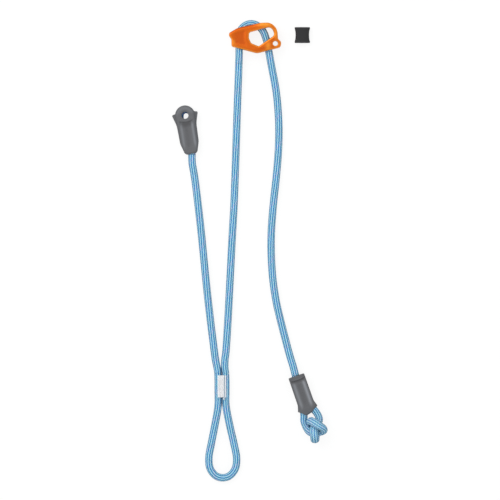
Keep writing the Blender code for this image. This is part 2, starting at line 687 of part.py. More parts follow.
def build_tie_in():
    """The fixed arm, the tie-in loop and the white bar-tack across its legs."""
    table = add_empty("table", (0.0, 0.0))
    for name, points, step in (
        ("fixed_arm_rope", FIXED_ARM_ROUTE, ROPE_STEP),
        ("tie_in_loop_rope", TIE_IN_LOOP_ROUTE, LOOP_STEP),
        ("adjustable_arm_rope", ADJUSTABLE_ARM_ROUTE, ROPE_STEP),
    ):
        route = smooth_route(points, step, square=True)
        carry(tube(name, route, ROPE_DIAMETER), table)
        print(f"{name} {1000 * route_length(route):.0f} mm")
    x, y = TACK_CENTRE
    span = (y - TACK_LENGTH / 2, y + TACK_LENGTH / 2)
    whole = smooth_route(TIE_IN_LOOP_ROUTE, LOOP_STEP)
    above = [point for point in whole if point.y > span[0] - 2 * LOOP_STEP]
    legs = [[p for p in above if p.x < x], [p for p in above if p.x > x]]
    stitch_pair(
        "tie_in_bartack", x, span, legs, TACK_WIDTH, TACK_THICKNESS, Z_TACK, table,
        TACK_THICKNESS / 3,
    )
    top = Z_TACK + ROPE_DIAMETER / 2 + JOIN_GAP + THREAD_END_DIAMETER / 2
    loose_end = tube("loose_thread_end", smooth_route([
        (x + 0.0026, span[0] + 0.0012, top - 0.0001), (x + 0.0031, span[0] - 0.0016, top),
        (x + 0.0023, span[0] - 0.0040, top), (x + 0.0029, span[0] - 0.0062, top),
    ], THREAD_STEP), THREAD_END_DIAMETER, None, resolution=2)
    carry(loose_end, table)
    boolean(bpy.data.objects["tie_in_bartack_front"], as_cutter(loose_end), "UNION")


def build_adjuster():
    """The adjuster's metal frame and the rope that runs through it."""
    entry_end = ENTRY_ROUTE[-1]
    slider = add_empty("adjuster_slide", entry_end[:2], height=Z_ADJUSTER)
    pivot = add_empty("adjuster_pivot", entry_end[:2], height=Z_ADJUSTER)
    entry = tube("adjuster_entry_rope", smooth_route(ENTRY_ROUTE, BEND_STEP), ROPE_DIAMETER)
    carry(entry, slider, local=False)
    route = smooth_route(BIGHT_ROUTE, BEND_STEP, square=True)
    bight = tube("adjuster_bight_rope", route, ROPE_DIAMETER)
    carry(bight, pivot, local=False)
    print(f"adjuster_bight_rope {1000 * route_length(route):.0f} mm")

    outlines = [
        rounded_outline(ADJUSTER_OUTLINE), rounded_outline(ADJUSTER_HOLE),
        circle(ADJUSTER_LUG_HOLE, ADJUSTER_LUG_HOLE_RADIUS, 20),
    ]
    frame = plate(
        "adjuster_frame", outlines, ADJUSTER_THICKNESS, ADJUSTER_EDGE_ROUND, Z_ADJUSTER,
        "anodised_orange",
    )
    beyond = [route[0] + BORE_BEYOND * (route[0] - route[1]).normalized()] + route
    beyond.append(route[-1] + BORE_BEYOND * (route[-1] - route[-2]).normalized())
    bore = tube(
        "adjuster_rope_bore", beyond, ROPE_DIAMETER + 2 * ADJUSTER_ROPE_CLEARANCE, None,
    )
    panel = plate(
        "adjuster_panel", [rounded_outline(ADJUSTER_PANEL)], 2 * ADJUSTER_PANEL_DEPTH, 0.0,
        ADJUSTER_THICKNESS,
    )
    for tool in (bore, panel):
        boolean(frame, as_cutter(tool), "DIFFERENCE")
        carry(tool, pivot, local=False)
    carry(frame, pivot, local=False)

    tail_route = smooth_route(TAIL_ROUTE, ROPE_STEP, square=True)
    carry(tube("tail_rope", tail_route, ROPE_DIAMETER), pivot, local=False)
    print(f"tail_rope {1000 * route_length(tail_route):.0f} mm")


def oval_ring(width, thickness, y, sides):
    """One ring of points of an oval with flat faces, across X and Z, at height y along the band."""
    points = []
    for k in range(sides):
        angle = 2 * math.pi * k / sides
        c = math.cos(angle)
        s = math.sin(angle)
        flat = 0.55
        points.append((
            width / 2 * math.copysign(abs(c) ** flat, c), y,
            thickness / 2 * math.copysign(abs(s) ** flat, s),
        ))
    return points


def build_keeper_band():
    """The loose rubber band: a flat tube with a waist, lofted through oval rings."""
    empty = add_empty("keeper_band_place", BAND_CENTRE, height=BAND_THICKNESS / 2)
    rows = 10
    sides = 32
    rings = []
    for inner in (0.0, BAND_WALL):
        order = range(rows + 1) if inner == 0.0 else range(rows, -1, -1)
        for row in order:
            share = row / rows
            waist = math.sin(math.pi * share)
            width = BAND_WIDTH - (BAND_WIDTH - BAND_WAIST_WIDTH) * waist
            y = BAND_HEIGHT * (share - 0.5)
            rings.append(oval_ring(width - 2 * inner, BAND_THICKNESS - 2 * inner, y, sides))
    work = bmesh.new()
    rows_of_verts = [[work.verts.new(point) for point in ring] for ring in rings]
    for a, b in zip(rows_of_verts, rows_of_verts[1:] + rows_of_verts[:1]):
        for k in range(sides):
            n = (k + 1) % sides
            work.faces.new((a[k], a[n], b[n], b[k]))
    bmesh.ops.recalc_face_normals(work, faces=work.faces)
    mesh = bpy.data.meshes.new("keeper_band")
    work.to_mesh(mesh)
    work.free()
    band = add_object("keeper_band", mesh, "black_rubber")
    carry(band, empty)
    smooth_faces(band)


clear_scene()
PARTS, CUTTERS = make_collections()
build_connector_end()
build_tie_in()
build_adjuster()
build_tail_end()
build_keeper_band()
bpy.context.view_layer.update()
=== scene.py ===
"""Adjustable twin rope lanyard, dressed for the studio.

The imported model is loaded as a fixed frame. Each rope is drawn again as a braided tube along the
frame's own route, and the metal, rubber and thread pieces are modelled where the frame has them.
Metres, +Z up, the table at z = 0, the origin under the adjuster's friction post.
"""
import json
import logging
import math
from collections.abc import Callable, Sequence
from dataclasses import dataclass, field
from enum import Enum
from typing import ClassVar

import bpy
import numpy as np
from bpy.types import Material, Node, NodeSocket, NodeTree, Object
from mathutils import Matrix, Vector
from mathutils.geometry import delaunay_2d_cdt

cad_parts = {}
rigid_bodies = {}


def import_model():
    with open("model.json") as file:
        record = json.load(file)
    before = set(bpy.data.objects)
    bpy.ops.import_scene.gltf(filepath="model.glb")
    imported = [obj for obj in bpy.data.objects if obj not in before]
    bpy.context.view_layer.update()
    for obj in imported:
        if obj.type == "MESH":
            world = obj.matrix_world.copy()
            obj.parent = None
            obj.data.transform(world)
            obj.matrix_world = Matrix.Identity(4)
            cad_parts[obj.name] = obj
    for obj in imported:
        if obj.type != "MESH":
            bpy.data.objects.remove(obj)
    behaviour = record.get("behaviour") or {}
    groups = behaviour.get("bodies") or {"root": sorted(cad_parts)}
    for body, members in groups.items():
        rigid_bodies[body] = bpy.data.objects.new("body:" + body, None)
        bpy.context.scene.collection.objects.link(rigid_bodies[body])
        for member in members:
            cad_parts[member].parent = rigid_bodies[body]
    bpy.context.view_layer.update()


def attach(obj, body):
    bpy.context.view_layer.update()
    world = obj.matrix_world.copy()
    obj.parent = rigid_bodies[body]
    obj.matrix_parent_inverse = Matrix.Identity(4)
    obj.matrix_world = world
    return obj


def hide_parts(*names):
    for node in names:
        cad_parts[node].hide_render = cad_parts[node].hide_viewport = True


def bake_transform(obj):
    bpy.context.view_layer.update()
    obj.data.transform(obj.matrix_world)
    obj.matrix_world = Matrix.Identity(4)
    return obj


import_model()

log = logging.getLogger("lanyard")

Array = np.ndarray
Point = tuple[float, ...]
Route = tuple[Point, ...]
Span = tuple[float, float]
Colour = tuple[int, int, int]
Tint = tuple[str, float, Colour]
Shine = tuple[tuple[str, float], ...]
Relief = Callable[[Array, Array], Array]
Surface = tuple[object, NodeSocket, NodeSocket]

# The rope, half the distance between two legs of it, and the distance between its rings of points
ROPE_DIAMETER = 0.0090
HALF_LEGS = 0.0093 / 2
RING = 0.0009

# Heights of the rope's middle line: on the table, in the adjuster, in the mouldings, in the joint
Z_TABLE = 0.0045
Z_ADJUSTER = 0.0087
Z_MOULD = 0.0064
Z_TACK = 0.0055


class Body(Enum):
    """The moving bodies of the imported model."""

    ROOT = "rope_and_tie_in"
    CARRIAGE = "adjuster_carriage"
    ADJUSTER = "adjuster"
    TAIL_END = "tail_end"
    BAND = "band"


class Slot(Enum):
    """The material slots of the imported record."""

    ROPE = "rope"
    ADJUSTER = "adjuster"
    GREY = "grey_rubber"
    BLACK = "black_rubber"
    THREAD = "thread"


# Small helpers


def linear(red: int, green: int, blue: int) -> tuple[float, float, float, float]:
    """Turns a colour written on the screen's scale of 0 to 255 into a linear colour.

    Args:
        red: amount of red.
        green: amount of green.
        blue: amount of blue.

    Returns:
        The linear colour with full alpha.
    """
    parts = []
    for value in (red, green, blue):
        share = value / 255
        parts.append(share / 12.92 if share <= 0.04045 else ((share + 0.055) / 1.055) ** 2.4)
    return (*parts, 1.0)


def smooth_step(values: Array, low: float, high: float) -> Array:
    """Rises smoothly from 0 at low to 1 at high.

    Args:
        values: numbers to weigh.
        low: value that gives 0.
        high: value that gives 1.

    Returns:
        The weights.
    """
    share = np.clip((values - low) / (high - low), 0.0, 1.0)
    return share * share * (3 - 2 * share)


def window(values: Array, rise: Span, fall: Span) -> Array:
    """Weighs 1 between two smooth flanks: smooth_step up over rise and down over fall."""
    return smooth_step(values, *rise) * (1 - smooth_step(values, *fall))


def bell(values: Array, width: float) -> Array:
    """Weighs 1 at zero and falls off as a bell of the given width."""
    return np.exp(-((values / width) ** 2))


def deselect() -> None:
    """Leaves nothing selected."""
    for thing in bpy.context.view_layer.objects:
        thing.select_set(False)


def activate(piece: Object) -> None:
    """Makes one piece the only selected and active one.

    Args:
        piece: the piece.
    """
    deselect()
    piece.select_set(True)
    bpy.context.view_layer.objects.active = piece


def add_mesh(name: str, points: Array, faces: Sequence[Sequence[int]]) -> Object:
    """Makes a mesh object at the origin.

    Args:
        name: name of the object.
        points: positions of its points.
        faces: point numbers of each face.

    Returns:
        The new object.
    """
    mesh = bpy.data.meshes.new(name)
    mesh.from_pydata([tuple(point) for point in points], [], [tuple(face) for face in faces])
    piece = bpy.data.objects.new(name, mesh)
    bpy.context.scene.collection.objects.link(piece)
    return piece


def apply_modifiers(piece: Object) -> None:
    """Applies every modifier of a piece, in order.

    Args:
        piece: the piece.
    """
    activate(piece)
    for modifier in list(piece.modifiers):
        bpy.ops.object.modifier_apply(modifier=modifier.name)


def cut(piece: Object, tool: Object) -> None:
    """Cuts the tool's shape out of a piece and removes the tool.

    Args:
        piece: solid that is cut.
        tool: closed solid that it loses.
    """
    modifier = piece.modifiers.new("cut", "BOOLEAN")
    modifier.operation = "DIFFERENCE"
    modifier.solver = "EXACT"
    modifier.object = tool
    apply_modifiers(piece)
    mesh = tool.data
    bpy.data.objects.remove(tool)
    bpy.data.meshes.remove(mesh)


def shade(piece: Object, angle: float = 35.0) -> None:
    """Shades a piece smooth, with its sharp edges kept.

    Args:
        piece: mesh object.
        angle: least angle of a sharp edge, in degrees.
    """
    activate(piece)
    bpy.ops.object.shade_smooth_by_angle(angle=math.radians(angle))
    deselect()


def paint(piece: Object, name: str, values: Array) -> None:
    """Stores one number per point, for the material to read.

    Args:
        piece: mesh object.
        name: name of the attribute.
        values: one number for each point.
    """
    attribute = piece.data.attributes.new(name, "FLOAT", "POINT")
    attribute.data.foreach_set("value", np.asarray(values, dtype=np.float32))


def coordinates(piece: Object) -> Array:
    """Reads the positions of a piece's points.

    Args:
        piece: mesh object.

    Returns:
        The positions, one row each.
    """
    flat = np.empty(3 * len(piece.data.vertices))
    piece.data.vertices.foreach_get("co", flat)
    return flat.reshape(-1, 3)


def reshape(piece: Object, spots: Array) -> None:
    """Moves a piece's points to new positions, one row each."""
    piece.data.vertices.foreach_set("co", spots.ravel())


def settle(piece: Object, body: Body, node: str) -> None:
    """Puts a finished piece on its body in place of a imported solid, and reports it.

    Args:
        piece: the finished piece.
        body: what it moves with.
        node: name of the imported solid.
    """
    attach(piece, body.value)
    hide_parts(node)
    log.info("%s, %d faces", piece.name, len(piece.data.polygons))


@dataclass(frozen=True)
class Place:
    """Where a sub-assembly lies on the table: its origin, and its turn about Z in degrees."""

    x: float
    y: float
    turn: float = 0.0

    def matrix(self) -> Matrix:
        """The place as a matrix."""
        return Matrix.Translation((self.x, self.y, 0.0)) @ Matrix.Rotation(
            math.radians(self.turn), 4, "Z"
        )

    def carry(self, piece: Object) -> None:
        """Moves a piece's mesh from the sub-assembly's own frame to the table."""
        piece.data.transform(self.matrix())


# Shader nodes


class Bench:
    """Adds nodes to one tree and links them."""

    def __init__(self, tree: NodeTree) -> None:
        """Takes the tree to work in."""
        self.tree = tree

    def add(self, kind: str, **settings: object) -> Node:
        """Adds a node.

        Args:
            kind: type of the node.
            settings: its properties by name.

        Returns:
            The node.
        """
        node = self.tree.nodes.new(kind)
        node.location = (220 * (len(self.tree.nodes) % 9), -170 * (len(self.tree.nodes) // 9))
        for name, value in settings.items():
            setattr(node, name, value)
        return node

    def feed(self, socket: NodeSocket, value: object) -> None:
        """Links a socket to another, or gives it a plain value.

        Args:
            socket: input to feed.
            value: output socket, number or colour.
        """
        if isinstance(value, NodeSocket):
            self.tree.links.new(value, socket)
        else:
            socket.default_value = value

    def math(self, operation: str, first: object, second: object = 0.0) -> NodeSocket:
        """Adds one step of arithmetic.

        Args:
            operation: name of the step.
            first: socket or number.
            second: socket or number.

        Returns:
            The result.
        """
        node = self.add("ShaderNodeMath", operation=operation)
        self.feed(node.inputs[0], first)
        self.feed(node.inputs[1], second)
        return node.outputs[0]

    def mix(self, share: object, first: object, second: object) -> NodeSocket:
        """Mixes two colours.

        Args:
            share: how much of the second, 0 to 1.
            first: colour or socket.
            second: colour or socket.

        Returns:
            The mixed colour.
        """
        node = self.add("ShaderNodeMix", data_type="RGBA")
        self.feed(node.inputs[0], share)
        self.feed(node.inputs[6], first)
        self.feed(node.inputs[7], second)
        return node.outputs[2]

    def between(self, share: object, low: float, high: float) -> NodeSocket:
        """Maps 0 to 1 onto low to high."""
        return self.math("ADD", self.scaled(share, high - low), low)

    def scaled(self, value: object, factor: float) -> NodeSocket:
        """Multiplies a value by a factor."""
        return self.math("MULTIPLY", value, factor)

    def tint(self, colour: object, share: object, tone: Colour) -> NodeSocket:
        """Mixes a share of a tone, written on the screen's scale, into a colour."""
        return self.mix(share, colour, linear(*tone))

    def attribute(self, name: str) -> NodeSocket:
        """Reads one of the piece's own attributes."""
        return self.add("ShaderNodeAttribute", attribute_name=name).outputs["Fac"]

    def place(self) -> NodeSocket:
        """The object coordinates."""
        return self.add("ShaderNodeTexCoord").outputs["Object"]


def new_group(
    name: str, inputs: Sequence[str], outputs: Sequence[str]
) -> tuple[NodeTree, Bench, Node, Node]:
    """Starts a shader node group that takes a coordinate and numbers, and puts out numbers.

    Args:
        name: name of the group.
        inputs: names of the numbers that it takes.
        outputs: names of the numbers that it puts out.

    Returns:
        The tree, its bench, its input node and its output node.
    """
    tree = bpy.data.node_groups.new(name, "ShaderNodeTree")
    tree.interface.new_socket("Coordinate", in_out="INPUT", socket_type="NodeSocketVector")
    for side, labels in (("INPUT", inputs), ("OUTPUT", outputs)):
        for label in labels:
            tree.interface.new_socket(label, in_out=side, socket_type="NodeSocketFloat")
    bench = Bench(tree)
    return tree, bench, bench.add("NodeGroupInput"), bench.add("NodeGroupOutput")


def sheath_group() -> NodeTree:
    """Builds the twill braid of a rope's sheath.

    Two sets of strands run round the rope in opposite directions. Each passes over two of the
    other set and under two, so that the floats stand in columns along the rope. The cycle is
    those four strands, flank is how far a strand falls to its sides, under is its height where
    it dives, and fibres is how many lie side by side in it.

    Returns:
        The node group, which puts out which set lies on top, a number that is the strand's own,
        the strand's height, and its fine fibres.
    """
    tree, bench, source, sink = new_group(
        "braided_sheath", ("Strands", "Pitch"), ("Left", "Own", "Height", "Fibre"),
    )
    cycle, flank, under, fibres = 4.0, 3.6, 0.45, 4
    split = bench.add("ShaderNodeSeparateXYZ")
    bench.feed(split.inputs[0], source.outputs["Coordinate"])
    strands = source.outputs["Strands"]
    turn = bench.math("MULTIPLY", split.outputs[0], strands)
    rise = bench.math("DIVIDE", split.outputs[1], source.outputs["Pitch"])
    right = bench.math("ADD", turn, rise)
    left = bench.math("SUBTRACT", turn, rise)
    whole_right = bench.math("FLOOR", right)
    whole_left = bench.math("FLOOR", left)
    phase = bench.math("FLOORED_MODULO", bench.math("ADD", whole_right, whole_left), cycle)
    on_left = bench.math("GREATER_THAN", phase, 1.5)
    sides = []
    for across, along_whole, along, shift, seed in (
        (right, whole_right, left, 0.0, 31.5), (left, whole_left, right, 2.0, 111.5),
    ):
        own = bench.math("FLOORED_MODULO", along_whole, strands)
        noise = bench.add("ShaderNodeTexWhiteNoise", noise_dimensions="1D")
        bench.feed(noise.inputs["W"], bench.math("ADD", own, seed))
        middle = bench.math("SUBTRACT", bench.math("FRACT", across), 0.5)
        fall = bench.scaled(bench.math("MULTIPLY", middle, middle), flank)
        crown = bench.math("SUBTRACT", 1.0, fall)
        reach = bench.math("FLOORED_MODULO", bench.math("ADD", along_whole, along), cycle)
        reach = bench.scaled(bench.math("SUBTRACT", reach, shift), math.pi / 2)
        float_up = bench.between(bench.math("SINE", reach), under, 1.0)
        fibre = bench.math("SINE", bench.scaled(across, fibres * 2 * math.pi))
        sides.append((noise.outputs["Value"], bench.math("MULTIPLY", crown, float_up), fibre))
    for output, index in (("Own", 0), ("Height", 1), ("Fibre", 2)):
        node = bench.add("ShaderNodeMix", data_type="FLOAT")
        bench.feed(node.inputs[0], on_left)
        bench.feed(node.inputs[2], sides[0][index])
        bench.feed(node.inputs[3], sides[1][index])
        bench.feed(sink.inputs[output], node.outputs[0])
    bench.feed(sink.inputs["Left"], on_left)
    return tree


def surface_group() -> NodeTree:
    """Builds the fine grain and broad unevenness of a moulded or anodised surface.

    Returns:
        The node group, which puts out a fine speckle and a slow cloud.
    """
    tree, bench, source, sink = new_group(
        "surface_grain", ("Fine", "Broad"), ("Speckle", "Cloud"),
    )
    for label, size, detail in (("Speckle", "Fine", 2.0), ("Cloud", "Broad", 4.0)):
        noise = bench.add("ShaderNodeTexNoise")
        bench.feed(noise.inputs["Vector"], source.outputs["Coordinate"])
        bench.feed(noise.inputs["Scale"], source.outputs[size])
        noise.inputs["Detail"].default_value = detail
        bench.feed(sink.inputs[label], noise.outputs[0])
    return tree


@dataclass(frozen=True)
class Workshop:
    """The node groups that the finishes share."""

    sheath: NodeTree
    surface: NodeTree


def new_material(name: str) -> tuple[Material, Bench, Node]:
    """Starts a material.

    Args:
        name: name of the material.

    Returns:
        The material, its bench and its main shader.
    """
    material = bpy.data.materials.new(name)
    material.use_nodes = True
    bench = Bench(material.node_tree)
    return material, bench, material.node_tree.nodes["Principled BSDF"]


def use_group(bench: Bench, tree: NodeTree, **values: object) -> Node:
    """Places a group in a material.

    Args:
        bench: bench of the material.
        tree: the group.
        values: its inputs by name.

    Returns:
        The group's node.
    """
    node = bench.add("ShaderNodeGroup")
    node.node_tree = tree
    for name, value in values.items():
        bench.feed(node.inputs[name], value)
    return node


# Finishes


@dataclass(frozen=True)
class Finish:
    """What every finish has: a grain, a range of roughness, bumps, tones and tints.

    Each tint lays a tone over the colour below it, by a share of what it names: the grain's
    Speckle or Cloud, the groove of the finish's own pattern, where the tone is painted shade, or
    one of two attributes painted on the piece: a painted highlight, and sunk, which is painted
    shade except on the thread, where it marks the rope showing through. Fine and broad are the
    scales of the grain, and depth is the height of its bumps.
    """

    name: str
    fine: float
    broad: float
    rough: Span
    depth: float
    tones: tuple[Colour, ...]
    tints: tuple[Tint, ...]
    shine: Shine = ()

    def pattern(self, bench: Bench, workshop: Workshop, speckle: NodeSocket) -> Surface:
        """A plain finish's own colour, its height, which is the grain's, and its groove."""
        return linear(*self.tones[0]), speckle, speckle

    def material(self, workshop: Workshop) -> Material:
        """Makes the finish's material.

        Args:
            workshop: the shared node groups.

        Returns:
            The material.
        """
        material, bench, shader = new_material(self.name)
        grain = use_group(
            bench, workshop.surface, Coordinate=bench.place(), Fine=self.fine, Broad=self.broad,
        ).outputs
        colour, height, groove = self.pattern(bench, workshop, grain["Speckle"])
        for source, share, tone in self.tints:
            if source == "groove":
                value = groove
            else:
                value = grain[source] if source in grain else bench.attribute(source)
            colour = bench.tint(colour, bench.scaled(value, share) if share < 1 else value, tone)
        bench.feed(shader.inputs["Base Color"], colour)
        bench.feed(shader.inputs["Roughness"], bench.between(grain["Speckle"], *self.rough))
        for socket, value in self.shine:
            shader.inputs[socket].default_value = value
        bump = bench.add("ShaderNodeBump")
        bump.inputs["Strength"].default_value = 1.0
        bump.inputs["Distance"].default_value = self.depth
        bench.feed(bump.inputs["Height"], height)
        bench.feed(shader.inputs["Normal"], bump.outputs[0])
        return material


@dataclass(frozen=True)
class SheathFinish(Finish):
    """Woven polyamide sheath: dark strands one way round, pale ones the other way.

    The first half of its tones is for the dark strands. Pitch is how far along the rope one
    strand lies from the next, in metres.
    """

    name: str = "rope_sheath"
    fine: float = 2600.0
    broad: float = 45.0
    rough: Span = (0.62, 0.92)
    depth: float = 0.00032
    tones: tuple[Colour, ...] = (
        (0, 120, 194), (0, 132, 182), (8, 106, 198), (30, 142, 208),
        (196, 246, 255), (216, 236, 255), (176, 242, 255), (190, 240, 255),
    )
    # Tints: the groove's tone is painted shade between the strands; the painted highlight lightens
    # the knot; sunk is painted shade where ropes press together and inside the keeper. The speckle
    # and cloud are the rope's own.
    tints: tuple[Tint, ...] = (
        ("groove", 0.50, (0, 88, 152)), ("Speckle", 0.10, (160, 214, 242)),
        ("Cloud", 0.08, (70, 120, 160)), ("painted_highlight", 1.0, (190, 226, 246)),
        ("sunk", 1.0, (18, 56, 116)),
    )
    shine: Shine = (
        ("Sheen Weight", 0.10), ("Specular IOR Level", 0.25), ("Sheen Roughness", 0.5),
    )
    strands: float = 20.0
    pitch: float = 0.0018
    fibre_height: float = 0.06

    def strand_tones(self, bench: Bench, own: object, colours: Sequence[Colour]) -> NodeSocket:
        """Gives each strand one of a few colours.

        Args:
            bench: bench of the material.
            own: the strand's own number, 0 to 1.
            colours: colours on the screen's scale.

        Returns:
            The colour socket.
        """
        ramp = bench.add("ShaderNodeValToRGB")
        ramp.color_ramp.interpolation = "CONSTANT"
        stops = ramp.color_ramp.elements
        while len(stops) < len(colours):
            stops.new(0.5)
        for index, colour in enumerate(colours):
            stops[index].position = index / len(colours)
            stops[index].color = linear(*colour)
        bench.feed(ramp.inputs[0], own)
        return ramp.outputs[0]

    def pattern(self, bench: Bench, workshop: Workshop, speckle: NodeSocket) -> Surface:
        """Weaves the strands.

        Args:
            bench: bench of the material.
            workshop: the shared node groups.
            speckle: the grain, which the weave doesn't need.

        Returns:
            The colour, the height and the groove between the strands.
        """
        where = bench.add("ShaderNodeUVMap", uv_map="sheath").outputs[0]
        braid = use_group(
            bench, workshop.sheath, Coordinate=where, Strands=self.strands, Pitch=self.pitch,
        ).outputs
        half = len(self.tones) // 2
        dark = self.strand_tones(bench, braid["Own"], self.tones[:half])
        pale = self.strand_tones(bench, braid["Own"], self.tones[half:])
        fibre = bench.scaled(braid["Fibre"], self.fibre_height)
        height = bench.math("ADD", braid["Height"], fibre)
        groove = bench.math("SUBTRACT", 1.0, braid["Height"])
        return bench.mix(braid["Left"], dark, pale), height, groove


@dataclass(frozen=True)
class AnodisedFinish(Finish):
    """Satin anodised metal, with painted shade in the recesses and painted highlights on the rims.
    """

    name: str = "anodised_orange"
    fine: float = 5200.0
    broad: float = 160.0
    rough: Span = (0.30, 0.46)
    depth: float = 0.00004
    tones: tuple[Colour, ...] = ((217, 102, 10),)
    # The sunk tone is painted shade in the recesses and on the top left edge, and the light tone
    # painted highlights on the rims and spots; the cloud is the metal's own.
    tints: tuple[Tint, ...] = (
        ("Cloud", 0.45, (188, 73, 4)), ("sunk", 0.8, (188, 73, 4)), ("painted_highlight", 0.85, (246, 156, 50)),
    )
    shine: Shine = (("Metallic", 0.8), ("Coat Weight", 0.06), ("Coat Roughness", 0.35))


@dataclass(frozen=True)
class GreyRubberFinish(Finish):
    """Grey moulded elastomer with a fine matt grain."""

    name: str = "grey_rubber"
    fine: float = 3200.0
    broad: float = 110.0
    rough: Span = (0.5, 0.72)
    depth: float = 0.00007
    tones: tuple[Colour, ...] = ((95, 96, 99),)
    # The sunk tone is painted shade in pockets and hollows, and the light tone a painted highlight
    # on ridges and rims; the cloud and speckle are the rubber's own.
    tints: tuple[Tint, ...] = (
        ("Cloud", 0.35, (70, 70, 72)), ("sunk", 1.0, (70, 70, 72)),
        ("painted_highlight", 1.0, (138, 142, 148)), ("Speckle", 0.12, (138, 142, 148)),
    )
    shine: Shine = (("Specular IOR Level", 0.35),)


@dataclass(frozen=True)
class BlackRubberFinish(GreyRubberFinish):
    """Black rubber, coarser than the grey."""

    name: str = "black_rubber"
    fine: float = 2200.0
    depth: float = 0.00012
    tones: tuple[Colour, ...] = ((38, 38, 40),)
    # The sunk tone is painted shade and the light tone a painted highlight; the cloud and speckle
    # are the rubber's own.
    tints: tuple[Tint, ...] = (
        ("Cloud", 0.35, (26, 26, 28)), ("sunk", 1.0, (26, 26, 28)),
        ("painted_highlight", 1.0, (52, 52, 54)), ("Speckle", 0.12, (52, 52, 54)),
    )


@dataclass(frozen=True)
class ThreadFinish(Finish):
    """Bonded sewing thread, twisted of a few plies, with so many turns to a metre."""

    name: str = "white_thread"
    fine: float = 4200.0
    broad: float = 300.0
    rough: Span = (0.55, 0.8)
    depth: float = 0.00006
    tones: tuple[Colour, ...] = ((255, 255, 255),)
    # The groove's tone is painted shade between the plies; sunk marks where the thread is thin and
    # the rope shows through; the cloud is the thread's own.
    tints: tuple[Tint, ...] = (
        ("groove", 0.5, (226, 230, 238)), ("Cloud", 0.2, (226, 230, 238)),
        ("sunk", 1.0, (112, 152, 176)),
    )
    plies: float = 3.0
    turns: float = 1400.0

    def pattern(self, bench: Bench, workshop: Workshop, speckle: NodeSocket) -> Surface:
        """Twists the plies.

        Args:
            bench: bench of the material.
            workshop: the shared node groups, which the thread doesn't need.
            speckle: the grain, which it doesn't need either.

        Returns:
            The colour, the height and the groove between the plies.
        """
        split = bench.add("ShaderNodeSeparateXYZ")
        bench.feed(split.inputs[0], bench.add("ShaderNodeUVMap", uv_map="sheath").outputs[0])
        around = bench.scaled(split.outputs[0], self.plies)
        lay = bench.math("ADD", around, bench.scaled(split.outputs[1], self.turns))
        ply = bench.between(bench.math("SINE", bench.scaled(lay, 2 * math.pi)), 0.5, 1.0)
        return linear(*self.tones[0]), ply, bench.math("SUBTRACT", 1.0, ply)


@dataclass(frozen=True)
class Finishes:
    """Every finish of the lanyard, made once."""

    rope: Material
    metal: Material
    grey: Material
    black: Material
    thread: Material

    @classmethod
    def make(cls) -> "Finishes":
        """Builds the shared groups and the materials.

        Returns:
            Every finish.
        """
        workshop = Workshop(sheath_group(), surface_group())
        made = (
            SheathFinish(), AnodisedFinish(), GreyRubberFinish(), BlackRubberFinish(),
            ThreadFinish(),
        )
        return cls(*(finish.material(workshop) for finish in made))


# Ropes and threads


def rows(points: Sequence[Vector]) -> Array:
    """Points as the rows of an array."""
    return np.array([tuple(point) for point in points])


def distances(line: Array) -> Array:
    """How far along a line each of its points lies."""
    return np.concatenate([[0.0], np.cumsum(np.linalg.norm(np.diff(line, axis=0), axis=1))])


def directions(line: Array) -> Array:
    """Unit direction of a line at each of its points."""
    tangent = np.gradient(line, axis=0)
    return tangent / np.linalg.norm(tangent, axis=1)[:, None]


def smooth_route(points: Sequence[Sequence[float]], step: float) -> list[Vector]:
    """Spaces points along a smooth curve through the given ones.

    Args:
        points: points that the curve passes through.
        step: distance between the new points.

    Returns:
        The new points.
    """
    knots = [Vector(point) for point in points]
    knots = [2 * knots[0] - knots[1]] + knots + [2 * knots[-1] - knots[-2]]
    fine = []
    for before, start, end, after in zip(knots, knots[1:], knots[2:], knots[3:]):
        for t in np.arange(16) / 16:
            fine.append(0.5 * (
                2 * start + (end - before) * t
                + (2 * before - 5 * start + 4 * end - after) * t * t
                + (3 * start - before - 3 * end + after) * t * t * t
            ))
    fine.append(knots[-2])
    places = rows(fine)
    along = distances(places)
    wanted = np.linspace(0.0, along[-1], max(3, round(along[-1] / step) + 1))
    spaced = [np.interp(wanted, along, places[:, axis]) for axis in range(3)]
    return [Vector(point) for point in np.stack(spaced, axis=1)]


def length_of(route: Sequence[Vector]) -> float:
    """Length along a route's points."""
    return sum((b - a).length for a, b in zip(route, route[1:]))


